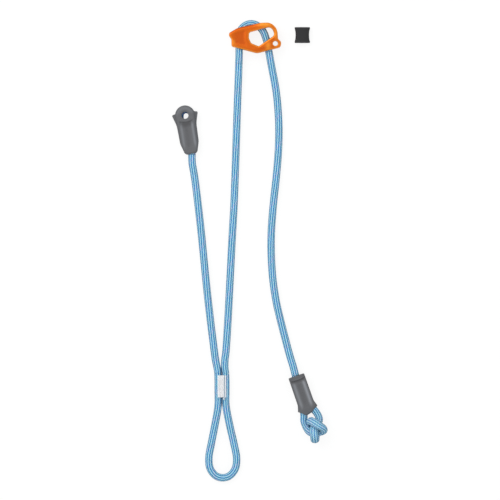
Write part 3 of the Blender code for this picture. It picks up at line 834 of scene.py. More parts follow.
@dataclass
class Tube:
    """A round flexible piece swept along a route, with its own map round and along it."""

    name: str
    route: list[Vector]
    diameter: float
    sides: int = 48
    relief: float = 0.0
    widths: Sequence[float] | None = None
    begins: float = 0.0
    twist: float = 0.0
    pressed: "Pressed | None" = None

    def rings(self, line: Array, along: Array) -> Array:
        """Places a ring of points round each point of the route.

        Args:
            line: points of the route, one row each.
            along: how far along the rope each of them lies.

        Returns:
            The points, by ring and place in the ring.
        """
        tangent = directions(line)
        normal = np.empty_like(line)
        last = np.array([0.0, 0.0, 1.0])
        for k, direction in enumerate(tangent):
            last = last - direction * last.dot(direction)
            last /= np.linalg.norm(last)
            normal[k] = last
        side = np.cross(tangent, normal)
        turn = 2 * math.pi * np.arange(self.sides) / self.sides
        angle = turn[None, :] + (self.twist * along)[:, None]
        widths = np.ones(len(line)) if self.widths is None else np.asarray(self.widths)
        parity = (np.arange(len(line))[:, None] + np.arange(self.sides)[None, :]) % 2
        radius = (widths * self.diameter / 2)[:, None] + self.relief * (parity - 1.0)
        offsets = radius[:, :, None] * (
            np.cos(angle)[:, :, None] * normal[:, None, :]
            + np.sin(angle)[:, :, None] * side[:, None, :]
        )
        if self.pressed is not None:
            offsets = self.pressed.applied(offsets)
        return line[:, None, :] + offsets

    def skin(self, along: Array) -> tuple[list[tuple[int, ...]], list[tuple[float, float]]]:
        """Joins the rings, and closes both ends with a fan of flat triangles.

        Args:
            along: how far along the rope each ring lies.

        Returns:
            The faces, and the map's place (round, along) at each of their corners.
        """
        count, sides = len(along), self.sides
        around = [(k, (k + 1) % sides, k / sides, (k + 1) / sides) for k in range(sides)]
        faces, maps = [], []
        for row in range(count - 1):
            here, there = along[row], along[row + 1]
            a, b = row * sides, (row + 1) * sides
            for k, n, low, high in around:
                faces.append((a + k, b + k, b + n, a + n))
                maps += [(low, here), (low, there), (high, there), (high, here)]
        for row, middle, order in ((0, count * sides, 1), (count - 1, count * sides + 1, -1)):
            for k, n, low, high in around:
                faces.append((middle, *(row * sides + k, row * sides + n)[::order]))
                maps.append(((low + high) / 2, along[row]))
                maps += [(low, along[row]), (high, along[row])][::order]
        return faces, maps

    def build(self, finish: Material | None) -> Object:
        """Sweeps the tube.

        Args:
            finish: its material, or None for a tool that cuts.

        Returns:
            The piece.
        """
        line = rows(self.route)
        along = self.begins + distances(line)
        points = self.rings(line, along).reshape(-1, 3)
        faces, maps = self.skin(along)
        piece = add_mesh(self.name, np.concatenate([points, line[:1], line[-1:]]), faces)
        layer = piece.data.uv_layers.new(name="sheath")
        layer.data.foreach_set("uv", np.array(maps, dtype=np.float32).ravel())
        smooth = np.ones(len(faces), dtype=bool)
        smooth[-2 * self.sides:] = False
        piece.data.polygons.foreach_set("use_smooth", smooth)
        if finish is not None:
            piece.data.materials.append(finish)
        return piece


@dataclass(frozen=True)
class Pressed:
    """How a soft rope flattens where another stretch of it presses against it.

    It starts to flatten at the wider of the touch distances, in diameters. Where it touches, it
    is flatter and wider by these shares. The change is spread over reach points.
    """

    toward: Array
    near: Array
    wide: Array
    touch: ClassVar[Span] = (0.96, 1.22)
    flatter: ClassVar[float] = 0.07
    wider: ClassVar[float] = 0.20
    reach: ClassVar[int] = 13

    @classmethod
    def against_itself(cls, route: list[Vector], diameter: float, apart: int) -> "Pressed":
        """Finds where a rope's stretches press on each other.

        Args:
            route: points of its middle line, evenly spaced.
            diameter: its width.
            apart: number of points between two stretches that can press on each other.

        Returns:
            The flattening at every point.
        """
        line = rows(route)
        index = np.arange(len(line))
        away = line[None, :, :] - line[:, None, :]
        gaps = np.linalg.norm(away, axis=2)
        gaps[np.abs(index[:, None] - index[None, :]) < apart] = 1.0
        nearest = gaps.argmin(axis=1)
        distance = gaps[index, nearest]
        toward = away[index, nearest] / distance[:, None]
        tangent = directions(line)
        toward -= tangent * (toward * tangent).sum(axis=1)[:, None]
        for k in index[1:]:
            if toward[k].dot(toward[k - 1]) < 0:
                toward[k] *= -1
        contact = 1 - smooth_step(distance, cls.touch[0] * diameter, cls.touch[1] * diameter)
        blur = np.hanning(cls.reach) / np.hanning(cls.reach).sum()
        toward = np.stack([np.convolve(toward[:, a], blur, "same") for a in range(3)], axis=1)
        toward /= np.linalg.norm(toward, axis=1)[:, None]
        contact = np.convolve(contact, blur, "same")
        return cls(toward, 1.0 - cls.flatter * contact, 1.0 + cls.wider * contact)

    def applied(self, offsets: Array) -> Array:
        """Flattens a rope's rings.

        Args:
            offsets: the rings' points as offsets from the middle line.

        Returns:
            The flattened offsets.
        """
        toward = self.toward[:, None, :]
        part = (offsets * toward).sum(axis=2, keepdims=True) * toward
        wide, near = self.wide[:, None, None], self.near[:, None, None]
        return offsets * wide + part * (near - wide)


@dataclass
class RopeRun:
    """One stretch of the lanyard's rope, and how far it reaches past each end of its route."""

    name: str
    node: str
    route: list[Vector]
    begins: float
    widths: Sequence[float] | None = None
    reach: Span = (0.0, 0.0)
    pressed: Pressed | None = None
    relief: float = 0.00012
    twist: float = 6.0
    sides: int = 40

    def build(self, finish: Material) -> Object:
        """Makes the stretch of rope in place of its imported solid.

        Args:
            finish: the rope's material.

        Returns:
            The piece.
        """
        route = list(self.route)
        route[0] = route[0] + self.reach[0] * (route[0] - route[1]).normalized()
        route[-1] = route[-1] + self.reach[1] * (route[-1] - route[-2]).normalized()
        piece = Tube(
            self.name, route, ROPE_DIAMETER, self.sides, self.relief, self.widths, self.begins,
            self.twist, self.pressed,
        ).build(finish)
        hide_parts(self.node)
        log.info("rope %s, %.0f mm", self.name, 1000 * length_of(self.route))
        return piece


@dataclass(frozen=True)
class Stretch:
    """How one stretch of rope lies, reaches, moves and ends.

    On one body it rides. One that has bends, between two bodies, is left where it lies, on none.
    """

    name: str
    node: str
    points: Route
    reach: Span
    bodies: tuple[Body, ...]
    bends: tuple[Point, ...] = ()
    far_end: str = ""
    sewn: bool = False


@dataclass
class Ropes:
    """The arms, the tie-in loop, the rope in the adjuster and the tail.

    Meet, joint, boot and sleeve are how far the drawn rope reaches past its route at the
    adjuster, at the sewn joint, in the keeper and in the sleeve. The seam is the line where the
    two ropes of the sewn joint press together.
    """

    left: float = -0.0275 - HALF_LEGS + 0.0001
    right: float = -0.0275 + HALF_LEGS - 0.0001
    begins: float = 0.20
    meet: float = 0.00014
    joint: float = 0.00023
    boot: float = 0.00020
    sleeve: float = 0.00037
    seam: float = -0.0278
    seam_lean: float = 0.15
    seam_top: float = -0.4029
    seam_rise: Span = (-0.4440, -0.4400)
    seam_fall: Span = (-0.3970, -0.3930)
    seam_width: float = 0.0014
    seam_shade: float = 0.72
    fixed_arm: Route = (
        (-0.0636, -0.1400, Z_MOULD), (-0.0633, -0.1500, 0.0058), (-0.0616, -0.1600, 0.0051),
        (-0.0597, -0.1720, 0.0046), (-0.0567, -0.1960, Z_TABLE), (-0.0527, -0.2310, Z_TABLE),
        (-0.0491, -0.2670, Z_TABLE), (-0.0455, -0.3030, Z_TABLE), (-0.0415, -0.3380, Z_TABLE),
        (-0.0384, -0.3630, Z_TABLE), (-0.0355, -0.3850, 0.0048), (-0.0334, -0.3955, 0.0053),
        (left - 0.0005, -0.4000, Z_TACK), (left - 0.0004, -0.4024, Z_TACK),
    )
    loop: Route = (
        (left - 0.0003, -0.4029, Z_TACK), (left, -0.4110, Z_TACK), (left, -0.4260, Z_TACK),
        (left + 0.0001, -0.4370, 0.0050), (-0.0330, -0.4480, Z_TABLE),
        (-0.0365, -0.4670, Z_TABLE), (-0.0402, -0.4860, Z_TABLE), (-0.0432, -0.5030, Z_TABLE),
        (-0.0420, -0.5160, Z_TABLE), (-0.0355, -0.5250, Z_TABLE), (-0.0266, -0.5278, Z_TABLE),
        (-0.0178, -0.5250, Z_TABLE), (-0.0113, -0.5160, Z_TABLE), (-0.0101, -0.5030, Z_TABLE),
        (-0.0134, -0.4860, Z_TABLE), (-0.0178, -0.4670, Z_TABLE), (-0.0217, -0.4480, Z_TABLE),
        (right - 0.0001, -0.4370, 0.0050), (right, -0.4260, Z_TACK), (right, -0.4110, Z_TACK),
        (right - 0.0003, -0.4029, Z_TACK),
    )
    adjustable_arm: Route = (
        (right - 0.0003, -0.4024, Z_TACK), (-0.0242, -0.3950, 0.0054),
        (-0.0239, -0.3850, 0.0047), (-0.0226, -0.3740, Z_TABLE), (-0.0204, -0.3390, Z_TABLE),
        (-0.0179, -0.2910, Z_TABLE), (-0.0155, -0.2430, Z_TABLE), (-0.0131, -0.2000, Z_TABLE),
        (-0.0116, -0.1600, Z_TABLE), (-0.0103, -0.1200, Z_TABLE), (-0.0090, -0.0800, 0.0046),
        (-0.0083, -0.0600, 0.0052), (-0.0077, -0.0440, 0.0065), (-0.0073, -0.0303, 0.0078),
    )
    entry: Route = (
        (-0.0073, -0.0300, 0.0078), (-0.0070, -0.0220, 0.0084), (-0.0069, -0.0135, Z_ADJUSTER),
    )
    bight: Route = tuple((x, y, Z_ADJUSTER) for x, y in (
        (-0.0069, -0.0132), (-0.0066, -0.0050), (-0.0063, 0.0030), (-0.0049, 0.0094),
        (-0.0017, 0.0134), (0.0024, 0.0160), (0.0070, 0.0170), (0.0116, 0.0164),
        (0.0160, 0.0142), (0.0202, 0.0104), (0.0234, 0.0048), (0.0259, -0.0026),
        (0.0277, -0.0095), (0.0287, -0.0162),
    ))
    tail: Route = (
        (0.0288, -0.0166, Z_ADJUSTER), (0.0303, -0.0250, 0.0083), (0.0331, -0.0400, 0.0068),
        (0.0357, -0.0530, 0.0056), (0.0380, -0.0680, 0.0047), (0.0399, -0.0880, Z_TABLE),
        (0.0408, -0.1110, Z_TABLE), (0.0400, -0.1380, Z_TABLE), (0.0375, -0.1680, Z_TABLE),
        (0.0340, -0.2010, Z_TABLE), (0.0317, -0.2330, Z_TABLE), (0.0316, -0.2600, Z_TABLE),
        (0.0334, -0.2880, Z_TABLE), (0.0373, -0.3150, Z_TABLE), (0.0428, -0.3390, Z_TABLE),
        (0.0487, -0.3620, 0.0046), (0.0538, -0.3810, 0.0051), (0.0578, -0.3940, 0.0058),
        (0.0607, -0.4050, Z_MOULD),
    )

    def shade_seam(self, piece: Object) -> None:
        """Darkens a rope where another lies pressed against it at the sewn joint.

        Args:
            piece: the rope.
        """
        x, y, _ = coordinates(piece).T
        middle = self.seam - self.seam_lean * np.maximum(y - self.seam_top, 0.0)
        near = window(y, self.seam_rise, self.seam_fall)
        paint(piece, "sunk", self.seam_shade * (near * bell(x - middle, self.seam_width)))

    def stretches(self) -> list[Stretch]:
        """Lists the stretches in the rope's own order.

        Returns:
            The six stretches, from the keeper to the tail's end.
        """
        root, carriage, adjuster = Body.ROOT, Body.CARRIAGE, Body.ADJUSTER
        return [
            Stretch(
                "fixed_arm", "fixed_arm_rope", self.fixed_arm, (self.boot, self.joint),
                (root,), far_end="object", sewn=True,
            ),
            Stretch(
                "tie_in_loop", "tie_in_loop_rope", self.loop, (self.joint, self.joint),
                (root,), far_end="object", sewn=True,
            ),
            Stretch(
                "adjustable_arm", "adjustable_arm_rope", self.adjustable_arm,
                (self.joint, self.meet), (root, carriage),
                ((-0.0236, -0.3950, 0.0052), (-0.0073, -0.0303, 0.0078)), "object", True,
            ),
            Stretch(
                "rope_at_adjuster_mouth", "adjuster_entry_rope", self.entry, (self.meet, 0.0),
                (carriage, adjuster),
                ((-0.0073, -0.0302, 0.0078), (-0.0069, -0.0136, Z_ADJUSTER)),
            ),
            Stretch(
                "adjuster_bight", "adjuster_bight_rope", self.bight, (0.0, self.meet),
                (adjuster,),
            ),
            Stretch(
                "tail", "tail_rope", self.tail, (self.meet, self.sleeve),
                (adjuster, Body.TAIL_END),
                ((0.0288, -0.0166, Z_ADJUSTER), (0.0607, -0.4050, Z_MOULD)), "knot",
            ),
        ]

    def build(self, finish: Material, end_pieces: Sequence) -> None:
        """Args:
            finish: the rope's material.
            end_pieces: the sleeve and the knotted eye at the tail's end; not used.
        """
        begins = self.begins
        for stretch in self.stretches():
            route = smooth_route(stretch.points, RING)
            rope = RopeRun(stretch.name, stretch.node, route, begins, reach=stretch.reach)
            begins = begins + length_of(route) + 2 * self.meet
            piece = rope.build(finish)
            if stretch.sewn:
                self.shade_seam(piece)
            bodies = [body.value for body in stretch.bodies]
            if stretch.bends:
                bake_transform(piece)
            else:
                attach(piece, *bodies)


# Plates with shaped faces


def rounded(corners: Sequence[Point], arc: float = 12.0) -> Array:
    """Rounds the corners of a polygon.

    Args:
        corners: its corners, (x, y, radius).
        arc: largest turn between two points of an arc, in degrees.

    Returns:
        The points of the outline, one row each.
    """
    outline = []
    count = len(corners)
    for index, (x, y, radius) in enumerate(corners):
        corner = Vector((x, y))
        to_last = Vector(corners[index - 1][:2]) - corner
        to_next = Vector(corners[(index + 1) % count][:2]) - corner
        if radius == 0.0:
            outline.append(tuple(corner))
            continue
        half = to_last.angle(to_next) / 2
        reach = min(radius / math.tan(half), 0.48 * to_last.length, 0.48 * to_next.length)
        radius = reach * math.tan(half)
        centre = corner + (to_last.normalized() + to_next.normalized()).normalized() * (
            radius / math.sin(half)
        )
        first = corner + to_last.normalized() * reach - centre
        sweep = first.angle_signed(corner + to_next.normalized() * reach - centre)
        steps = max(1, math.ceil(abs(sweep) / math.radians(arc)))
        for k in range(steps + 1):
            outline.append(tuple(centre + Matrix.Rotation(-sweep * k / steps, 2) @ first))
    return np.array(outline)


def ring(x: float, y: float, radius: float, sides: int = 36) -> Array:
    """Points of a circle about (x, y)."""
    angle = 2 * math.pi * np.arange(sides) / sides
    return np.stack([x + radius * np.cos(angle), y + radius * np.sin(angle)], axis=1)


def refined(outline: Array, step: float) -> Array:
    """Adds points to an outline, so that none are further apart than step.

    Args:
        outline: points of the outline.
        step: largest distance between two points.

    Returns:
        The points, the old ones among them.
    """
    points = []
    for a, b in zip(outline, np.roll(outline, -1, axis=0)):
        pieces = max(1, math.ceil(np.linalg.norm(b - a) / step))
        points += [a + (b - a) * k / pieces for k in range(pieces)]
    return np.array(points)


def depth_inside(x: Array, y: Array, outline: Array) -> Array:
    """Distance of points to an outline, positive inside it.

    Args:
        x: places across.
        y: places along.
        outline: points of the outline.

    Returns:
        The signed distances.
    """
    a, b = outline, np.roll(outline, -1, axis=0)
    px, py = x[:, None], y[:, None]
    dx, dy = (b - a)[:, 0], (b - a)[:, 1]
    square = np.maximum(dx * dx + dy * dy, 1e-18)
    share = np.clip(((px - a[:, 0]) * dx + (py - a[:, 1]) * dy) / square, 0.0, 1.0)
    distance = np.hypot(px - a[:, 0] - share * dx, py - a[:, 1] - share * dy).min(axis=1)
    over = (a[:, 1] > py) != (b[:, 1] > py)
    steep = np.where(dy == 0, 1e-18, dy)
    hit = over & (px < dx * (py - a[:, 1]) / steep + a[:, 0])
    return np.where(hit.sum(axis=1) % 2 == 1, distance, -distance)


def quarter_round(depth: Array, radius: float) -> Array:
    """How far a rounded edge falls below its face, by the depth inside the outline."""
    rest = np.clip(radius - depth, 0.0, radius)
    return radius - np.sqrt(radius * radius - rest * rest)


@dataclass
class Layer:
    """One thickness of a plate: its outline, half its thickness and the round of its edge."""

    outline: Array
    half: float
    round: float


@dataclass
class ShapedPlate:
    """A forged or moulded plate whose two faces carry relief.

    Its faces are a fine net of triangles: an even grid, with rings of points beside every edge
    at shares of its round. Two thicknesses melt into each other over blend.
    """

    name: str
    edge: Array
    middle: float
    layers: list[Layer]
    holes: list[Array] = field(default_factory=list)
    hole_round: float = 0.0
    relief: Relief | None = None
    grid: float = 0.0007
    blend: float = 0.0004
    edge_step: float = 0.0009
    least_round: float = 0.0006
    shares: tuple[float, ...] = (0.03, 0.12, 0.28, 0.5, 0.75, 1.0)
    clear: float = 4e-5
    cell: float = 0.00016

    def half_height(self, x: Array, y: Array) -> Array:
        """Half the plate's thickness at places seen from above.

        Args:
            x: places across.
            y: places along.

        Returns:
            The half thicknesses.
        """
        height = None
        for layer in self.layers:
            depth = np.maximum(depth_inside(x, y, layer.outline), -1e-4)
            top = layer.half - quarter_round(depth, layer.round)
            top = np.where(depth < -5e-5, -1.0, top)
            if height is None:
                height = top
                continue
            gap = np.clip(0.5 + 0.5 * (top - height) / self.blend, 0.0, 1.0)
            height = height + (top - height) * gap + self.blend * gap * (1 - gap)
        height = np.maximum(height, min(layer.half - layer.round for layer in self.layers))
        for hole in self.holes:
            depth = -depth_inside(x, y, hole)
            height = height - quarter_round(np.maximum(depth, 0.0), self.hole_round)
        if self.relief is not None:
            height = height - self.relief(x, y)
        return height

    def covers(self, points: Array, clear: float = 0.0) -> Array:
        """Tells which places seen from above lie on the plate.

        Args:
            points: the places, one row each.
            clear: least distance to every edge.

        Returns:
            True for each place on the plate.
        """
        on = depth_inside(*points.T, self.edge) > clear
        for hole in self.holes:
            on &= depth_inside(*points.T, hole) < -clear
        return on

    def beside(self, outline: Array, radius: float, sign: float) -> list[Array]:
        """Places rings of points beside an edge, closer together where it starts to round.

        Args:
            outline: the edge.
            radius: round of the edge.
            sign: 1 for the plate's own edge, -1 for a hole's.

        Returns:
            The rings.
        """
        base = refined(outline, self.edge_step)
        ahead, behind = np.roll(base, -1, axis=0), np.roll(base, 1, axis=0)
        run = ahead - behind
        out = np.stack([run[:, 1], -run[:, 0]], axis=1)
        out /= np.linalg.norm(out, axis=1)[:, None]
        turn = np.sum(base[:, 0] * ahead[:, 1] - ahead[:, 0] * base[:, 1])
        out *= sign * (1.0 if turn > 0 else -1.0)
        reach = max(radius, self.least_round)
        rings = []
        for share in self.shares:
            moved = base - out * reach * share
            depth = depth_inside(*moved.T, outline) * sign
            rings.append(moved[depth > 0.9 * share * reach])
        return rings

    def spread(self) -> Array:
        """Chooses the free points inside the plate, as seen from above.

        Returns:
            The points, one row each.
        """
        points = []
        for layer in self.layers:
            points += self.beside(layer.outline, layer.round, 1.0)
        for hole in self.holes:
            points += self.beside(hole, self.hole_round, -1.0)
        low, high = self.edge.min(axis=0), self.edge.max(axis=0)
        columns = np.arange(low[0], high[0], self.grid)
        gx, gy = np.meshgrid(columns, np.arange(low[1], high[1], self.grid * 0.866))
        gx[1::2] += self.grid / 2
        points.append(np.stack([gx.ravel(), gy.ravel()], axis=1))
        free = np.concatenate(points)
        free = free[self.covers(free, self.clear)]
        first = np.unique(np.round(free / self.cell).astype(int), axis=0, return_index=True)[1]
        return free[np.sort(first)]

    def face(self) -> tuple[Array, Array]:
        """Nets one face of the plate, as seen from above.

        Returns:
            The points, and the triangles between them, all turned the same way.
        """
        loops = [refined(outline, self.edge_step) for outline in [self.edge] + self.holes]
        edges, start = [], 0
        for loop in loops:
            count = len(loop)
            edges += [(start + k, start + (k + 1) % count) for k in range(count)]
            start += count
        flat = [Vector(point) for point in np.concatenate(loops + [self.spread()])]
        result = delaunay_2d_cdt(flat, edges, [], 0, 1e-7)
        points = rows(result[0])
        triangles = np.array([tuple(face) for face in result[2]])
        triangles = triangles[self.covers(points[triangles].mean(axis=1))]
        a, b, c = (points[triangles[:, k]] for k in range(3))
        area = (b[:, 0] - a[:, 0]) * (c[:, 1] - a[:, 1]) - (b[:, 1] - a[:, 1]) * (c[:, 0] - a[:, 0])
        triangles[area < 0] = triangles[area < 0][:, ::-1]
        return points, triangles

    def build(self, finish: Material) -> Object:
        """Makes the plate: its two faces, and walls along the edges that have one triangle.

        Args:
            finish: its material.

        Returns:
            The piece.
        """
        points, triangles = self.face()
        half, count = self.half_height(*points.T), len(points)
        top = np.column_stack([points, self.middle + half])
        bottom = np.column_stack([points, self.middle - half])
        faces = [tuple(t) for t in triangles] + [tuple(t[::-1] + count) for t in triangles]
        sides: dict[tuple[int, int], bool] = {}
        for a, b, c in triangles:
            for pair in ((a, b), (b, c), (c, a)):
                if sides.pop(pair[::-1], None) is None:
                    sides[pair] = True
        faces += [(b, a, a + count, b + count) for a, b in sides]
        piece = add_mesh(self.name, np.concatenate([top, bottom]), faces)
        piece.data.materials.append(finish)
        return piece


# Sub-assemblies


@dataclass(frozen=True)
class HighlightSpot:
    """A soft painted highlight on the metal: its middle, its half sizes and how much it shows."""

    x: float
    y: float
    wide: float
    tall: float
    share: float

    def weigh(self, x: Array, y: Array) -> Array:
        """How much the spot shows at each place."""
        far = ((x - self.x) / self.wide) ** 2 + ((y - self.y) / self.tall) ** 2
        return self.share * np.exp(-far)


@dataclass
class Adjuster:
    """The metal frame that the adjustable arm runs through.

    Beyond is how far the rope's bore goes on past the rope inside. Rail start and low start are
    the places across from which the top rail's line and the low rail's are measured, and step
    down is how much lower the low rail lies. A groove runs along the top rail, another along the
    low rail and a third round the lug's hole, at lug ring from its middle. Reach is where a
    rail's groove fades in and out. The shares are parts of the full depth, groove, and the lug's
    groove is as deep as the low rail's. Painted highlights lie on the faces at the listed spots,
    and painted shade darkens the top left edge by its own share.
    """

    thickness: float = 0.0174
    edge_round: float = 0.0021
    hole_round: float = 0.0016
    lug_hole: tuple[float, float, float] = (0.0365, -0.0067, 0.0030)
    bore: float = 0.0098
    beyond: float = 0.0060
    groove: float = 0.00040
    step_down: float = 0.0006
    rail_start: float = -0.0040
    low_start: float = 0.0146
    top_reach: tuple[Span, Span] = ((-0.0160, -0.0110), (0.0160, 0.0230))
    low_reach: tuple[Span, Span] = ((0.0160, 0.0200), (0.0290, 0.0330))
    lug_ring: float = 0.0047
    top_width: float = 0.00080
    low_width: float = 0.0006
    lug_width: float = 0.0005
    panel_share: float = 0.7
    top_share: float = 0.9
    low_share: float = 0.6
    highlight_spots: tuple[HighlightSpot, ...] = (
        HighlightSpot(0.0245, 0.0160, 0.0090, 0.0030, 1.00),
        HighlightSpot(-0.0178, 0.0046, 0.0022, 0.0030, 0.10),
        HighlightSpot(-0.0138, -0.0088, 0.0030, 0.0016, 0.45),
        HighlightSpot(0.0372, 0.0060, 0.0020, 0.0075, 0.85),
        HighlightSpot(0.0400, -0.0080, 0.0022, 0.0030, 0.55),
        HighlightSpot(0.0278, -0.0100, 0.0030, 0.0050, 0.85),
        HighlightSpot(-0.0132, -0.0055, 0.0016, 0.0032, 0.60),
    )
    top_edge_shade: float = 0.55
    edge: Route = (
        (-0.0206, 0.0049, 0.0035), (-0.0090, 0.0119, 0.0140), (0.0190, 0.0181, 0.0300),
        (0.0305, 0.0185, 0.0120), (0.0388, 0.0112, 0.0140), (0.0398, -0.0011, 0.0022),
        (0.0437, -0.0050, 0.0040), (0.0430, -0.0112, 0.0045), (0.0146, -0.0186, 0.0120),
        (-0.0161, -0.0103, 0.0027), (-0.0163, -0.0018, 0.0030),
    )
    hole: Route = (
        (0.0051, 0.0067, 0.0030), (0.0320, 0.0137, 0.0065), (0.0358, 0.0033, 0.0045),
        (0.0166, -0.0101, 0.0022), (0.0075, -0.0064, 0.0036), (0.0048, -0.0005, 0.0060),
    )
    panel: Route = (
        (-0.0152, 0.0040, 0.0020), (-0.0085, 0.0074, 0.0060), (0.0006, 0.0094, 0.0020),
        (0.0004, -0.0030, 0.0060), (0.0032, -0.0104, 0.0020), (-0.0128, -0.0066, 0.0020),
    )

    def rail_line(self, x: Array) -> Array:
        """Place, seen from above, of the groove that runs along the top rail."""
        along = x - self.rail_start
        return 0.0119 + 0.215 * along - 1.6 * along ** 2

    def sunk(self, x: Array, y: Array) -> Array:
        """How deep the faces sink, as a share of the groove's depth.

        Args:
            x: places across.
            y: places along.

        Returns:
            The shares.
        """
        panel = smooth_step(depth_inside(x, y, rounded(self.panel)), -0.0010, 0.0026)
        top = bell(y - self.rail_line(x), self.top_width) * window(x, *self.top_reach)
        low = bell(y + 0.0142 - 0.19 * (x - self.low_start), self.low_width)
        low *= window(x, *self.low_reach)
        lug = np.hypot(x - self.lug_hole[0], y - self.lug_hole[1])
        lug = bell(lug - self.lug_ring, self.lug_width)
        deepest = np.maximum(self.panel_share * panel, self.top_share * top)
        return np.maximum(deepest, self.low_share * np.maximum(low, lug))

    def relief(self, x: Array, y: Array) -> Array:
        """Depth of the faces' relief: what is sunk, and the low rail, which lies lower."""
        low_rail = smooth_step(-(y - 0.26 * (x - self.low_start)), 0.0125, 0.0185)
        return self.groove * self.sunk(x, y) + self.step_down * low_rail * (x > -0.02)

    def drill(self, piece: Object, bight: Route) -> None:
        """Bores the frame for its rope, out past both ends of the rope inside.

        Args:
            piece: the frame.
            bight: route of the rope inside.
        """
        route = smooth_route(bight, 0.0015)
        start = route[0] + self.beyond * (route[0] - route[1]).normalized()
        end = route[-1] + self.beyond * (route[-1] - route[-2]).normalized()
        cut(piece, Tube("bore", [start] + route + [end], self.bore, 40).build(None))

    def paint_light_and_shade(self, piece: Object, edge: Array, holes: list[Array]) -> None:
        """Paints highlights along the faces' rims and at the spots, and paints shade in their
        recesses and on the top left edge.

        Args:
            piece: the frame.
            edge: its outline.
            holes: outlines of the large hole and of the lug's.
        """
        x, y, z = coordinates(piece).T
        edge_depth = depth_inside(x, y, edge)
        near = np.minimum(edge_depth, -depth_inside(x, y, holes[0]))
        near = np.minimum(near, -depth_inside(x, y, holes[1]) + 0.0004)
        face = smooth_step(np.abs(z - Z_ADJUSTER), 0.0060, 0.0078)
        # Painted highlights along every rim and at the listed spots, left off the top left edge;
        # painted shade in the recesses and on that edge.
        top_edge = 1 - smooth_step(edge_depth, 0.0010, 0.0026)
        top_edge *= smooth_step(y, 0.0035, 0.0060) * (1 - smooth_step(x, 0.0150, 0.0210))
        painted_highlight = (1 - smooth_step(near, 0.0006, 0.0020)) * (1 - top_edge)
        for spot in self.highlight_spots:
            painted_highlight = np.maximum(painted_highlight, spot.weigh(x, y))
        paint(piece, "painted_highlight", face * painted_highlight)
        sunk = face * self.sunk(x, y) * smooth_step(x, -0.0148, -0.0100)
        paint(piece, "sunk", np.maximum(sunk, self.top_edge_shade * top_edge))

    def build(self, finish: Material, bight: Route) -> None:
        """Makes the frame, bores it for the rope and paints highlights on its rims and shade in its
        recesses.

        Args:
            finish: the metal.
            bight: route of the rope inside.
        """
        edge, hole = (rounded(outline, 8.0) for outline in (self.edge, self.hole))
        holes = [hole, ring(*self.lug_hole)]
        piece = ShapedPlate(
            "adjuster_body", edge, Z_ADJUSTER, [Layer(edge, self.thickness / 2, self.edge_round)],
            holes, self.hole_round, self.relief,
        ).build(finish)
        self.drill(piece, bight)
        self.paint_light_and_shade(piece, edge, holes)
        shade(piece)
        settle(piece, Body.ADJUSTER, "adjuster_frame")


@dataclass
class Stitching:
    """Bar-tack: columns of zigzag thread over two legs of rope, on a thin bed of thread.

    The bed lies under the thread's middle line. Each stitch rises by arch between its ends, leans
    along the rope by slope times the pitch, and wavers a little. Lowest is the least height of
    the bed over the rope's middle line, and thin is where a front seam is darkened.
    """

    name: str
    node: str
    place: Place
    span: Span
    front: bool
    width: float
    middle: float
    columns: int = 5
    thread: float = 0.00062
    pitch: float = 0.00125
    proud: float = 0.0004
    lowest: float = 0.0036
    thin: float | None = None
    leg: float = ROPE_DIAMETER / 2
    under: float = 0.0001
    bed_thickness: float = 0.0002
    arch: float = 0.00022
    waver: float = 0.00005
    slope: float = 0.32

    def height(self, x: Array) -> Array:
        """Finds how high the thread's bed lies above the rope's middle line.

        Args:
            x: places across the two legs.

        Returns:
            The heights.
        """
        off = np.clip(np.abs(x) - HALF_LEGS, -self.leg, self.leg)
        round_leg = np.sqrt(np.maximum(self.leg ** 2 - off ** 2, 0.0))
        return np.maximum(round_leg, self.lowest) + self.proud

    def bed(self) -> Object:
        """Makes the bed under the thread, a thin crowned sheet.

        Returns:
            The bed, in the stitching's own frame.
        """
        deselect()
        bpy.ops.mesh.primitive_grid_add(
            x_subdivisions=24, y_subdivisions=12, size=1.0, location=(0.0, 0.0, 0.0),
        )
        bed = bpy.context.active_object
        bed.name = self.name + "_bed"
        low, high = self.span
        spots = coordinates(bed)
        spots[:, 0] *= self.width - self.thread
        spots[:, 1] = (low + high) / 2 + spots[:, 1] * (high - low - self.thread)
        side = 1.0 if self.front else -1.0
        spots[:, 2] = self.middle + side * (self.height(spots[:, 0]) - self.under)
        reshape(bed, spots)
        if not self.front:
            bed.data.flip_normals()
        solid = bed.modifiers.new("thickness", "SOLIDIFY")
        solid.thickness = self.bed_thickness
        solid.offset = -1.0
        apply_modifiers(bed)
        bed.data.uv_layers[0].name = "sheath"
        return bed

    def column(self, index: int, finish: Material) -> Object:
        """Makes one column of zigzag thread.

        Args:
            index: number of the column, from the left.
            finish: the thread's material.

        Returns:
            The thread.
        """
        each = self.width / self.columns
        left = -self.width / 2 + index * each
        side = 1.0 if self.front else -1.0
        low, high = self.span
        count = round((high - low) / self.pitch * 2)
        points = []
        for k in range(count + 1):
            y = low + (high - low) * k / count + self.waver * math.sin(2.4 * k + index)
            for share in (0.06, 0.35, 0.65, 0.94):
                x = left + each * (share if k % 2 == 0 else 1 - share)
                lift = self.arch * math.sin(math.pi * share)
                z = float(self.height(np.array([x]))[0]) + self.under + lift
                lean = (share - 0.5) * self.pitch * self.slope
                points.append(Vector((x, y + lean, self.middle + side * z)))
        thread = Tube(f"{self.name}_{index}", points, self.thread, 6, begins=0.01 * index)
        return thread.build(finish)

    def build(self, finish: Material, body: Body, extras: Sequence) -> None:
        """Makes the stitching as one piece.

        Args:
            finish: the thread's material.
            body: what it moves with.
            extras: further thread that belongs to it, in the same frame.
        """
        bed = self.bed()
        bed.data.materials.append(finish)
        parts = [self.column(index, finish) for index in range(self.columns)] + list(extras)
        activate(bed)
        for part in parts:
            part.select_set(True)
        bpy.ops.object.join()
        bed.name = self.name
        bed.data.name = self.name
        deselect()
        if self.front and self.thin is not None:
            paint(bed, "sunk", 0.75 * bell(coordinates(bed)[:, 0] - self.thin, 0.0007))
        self.place.carry(bed)
        shade(bed, 60.0)
        settle(bed, body, self.node)


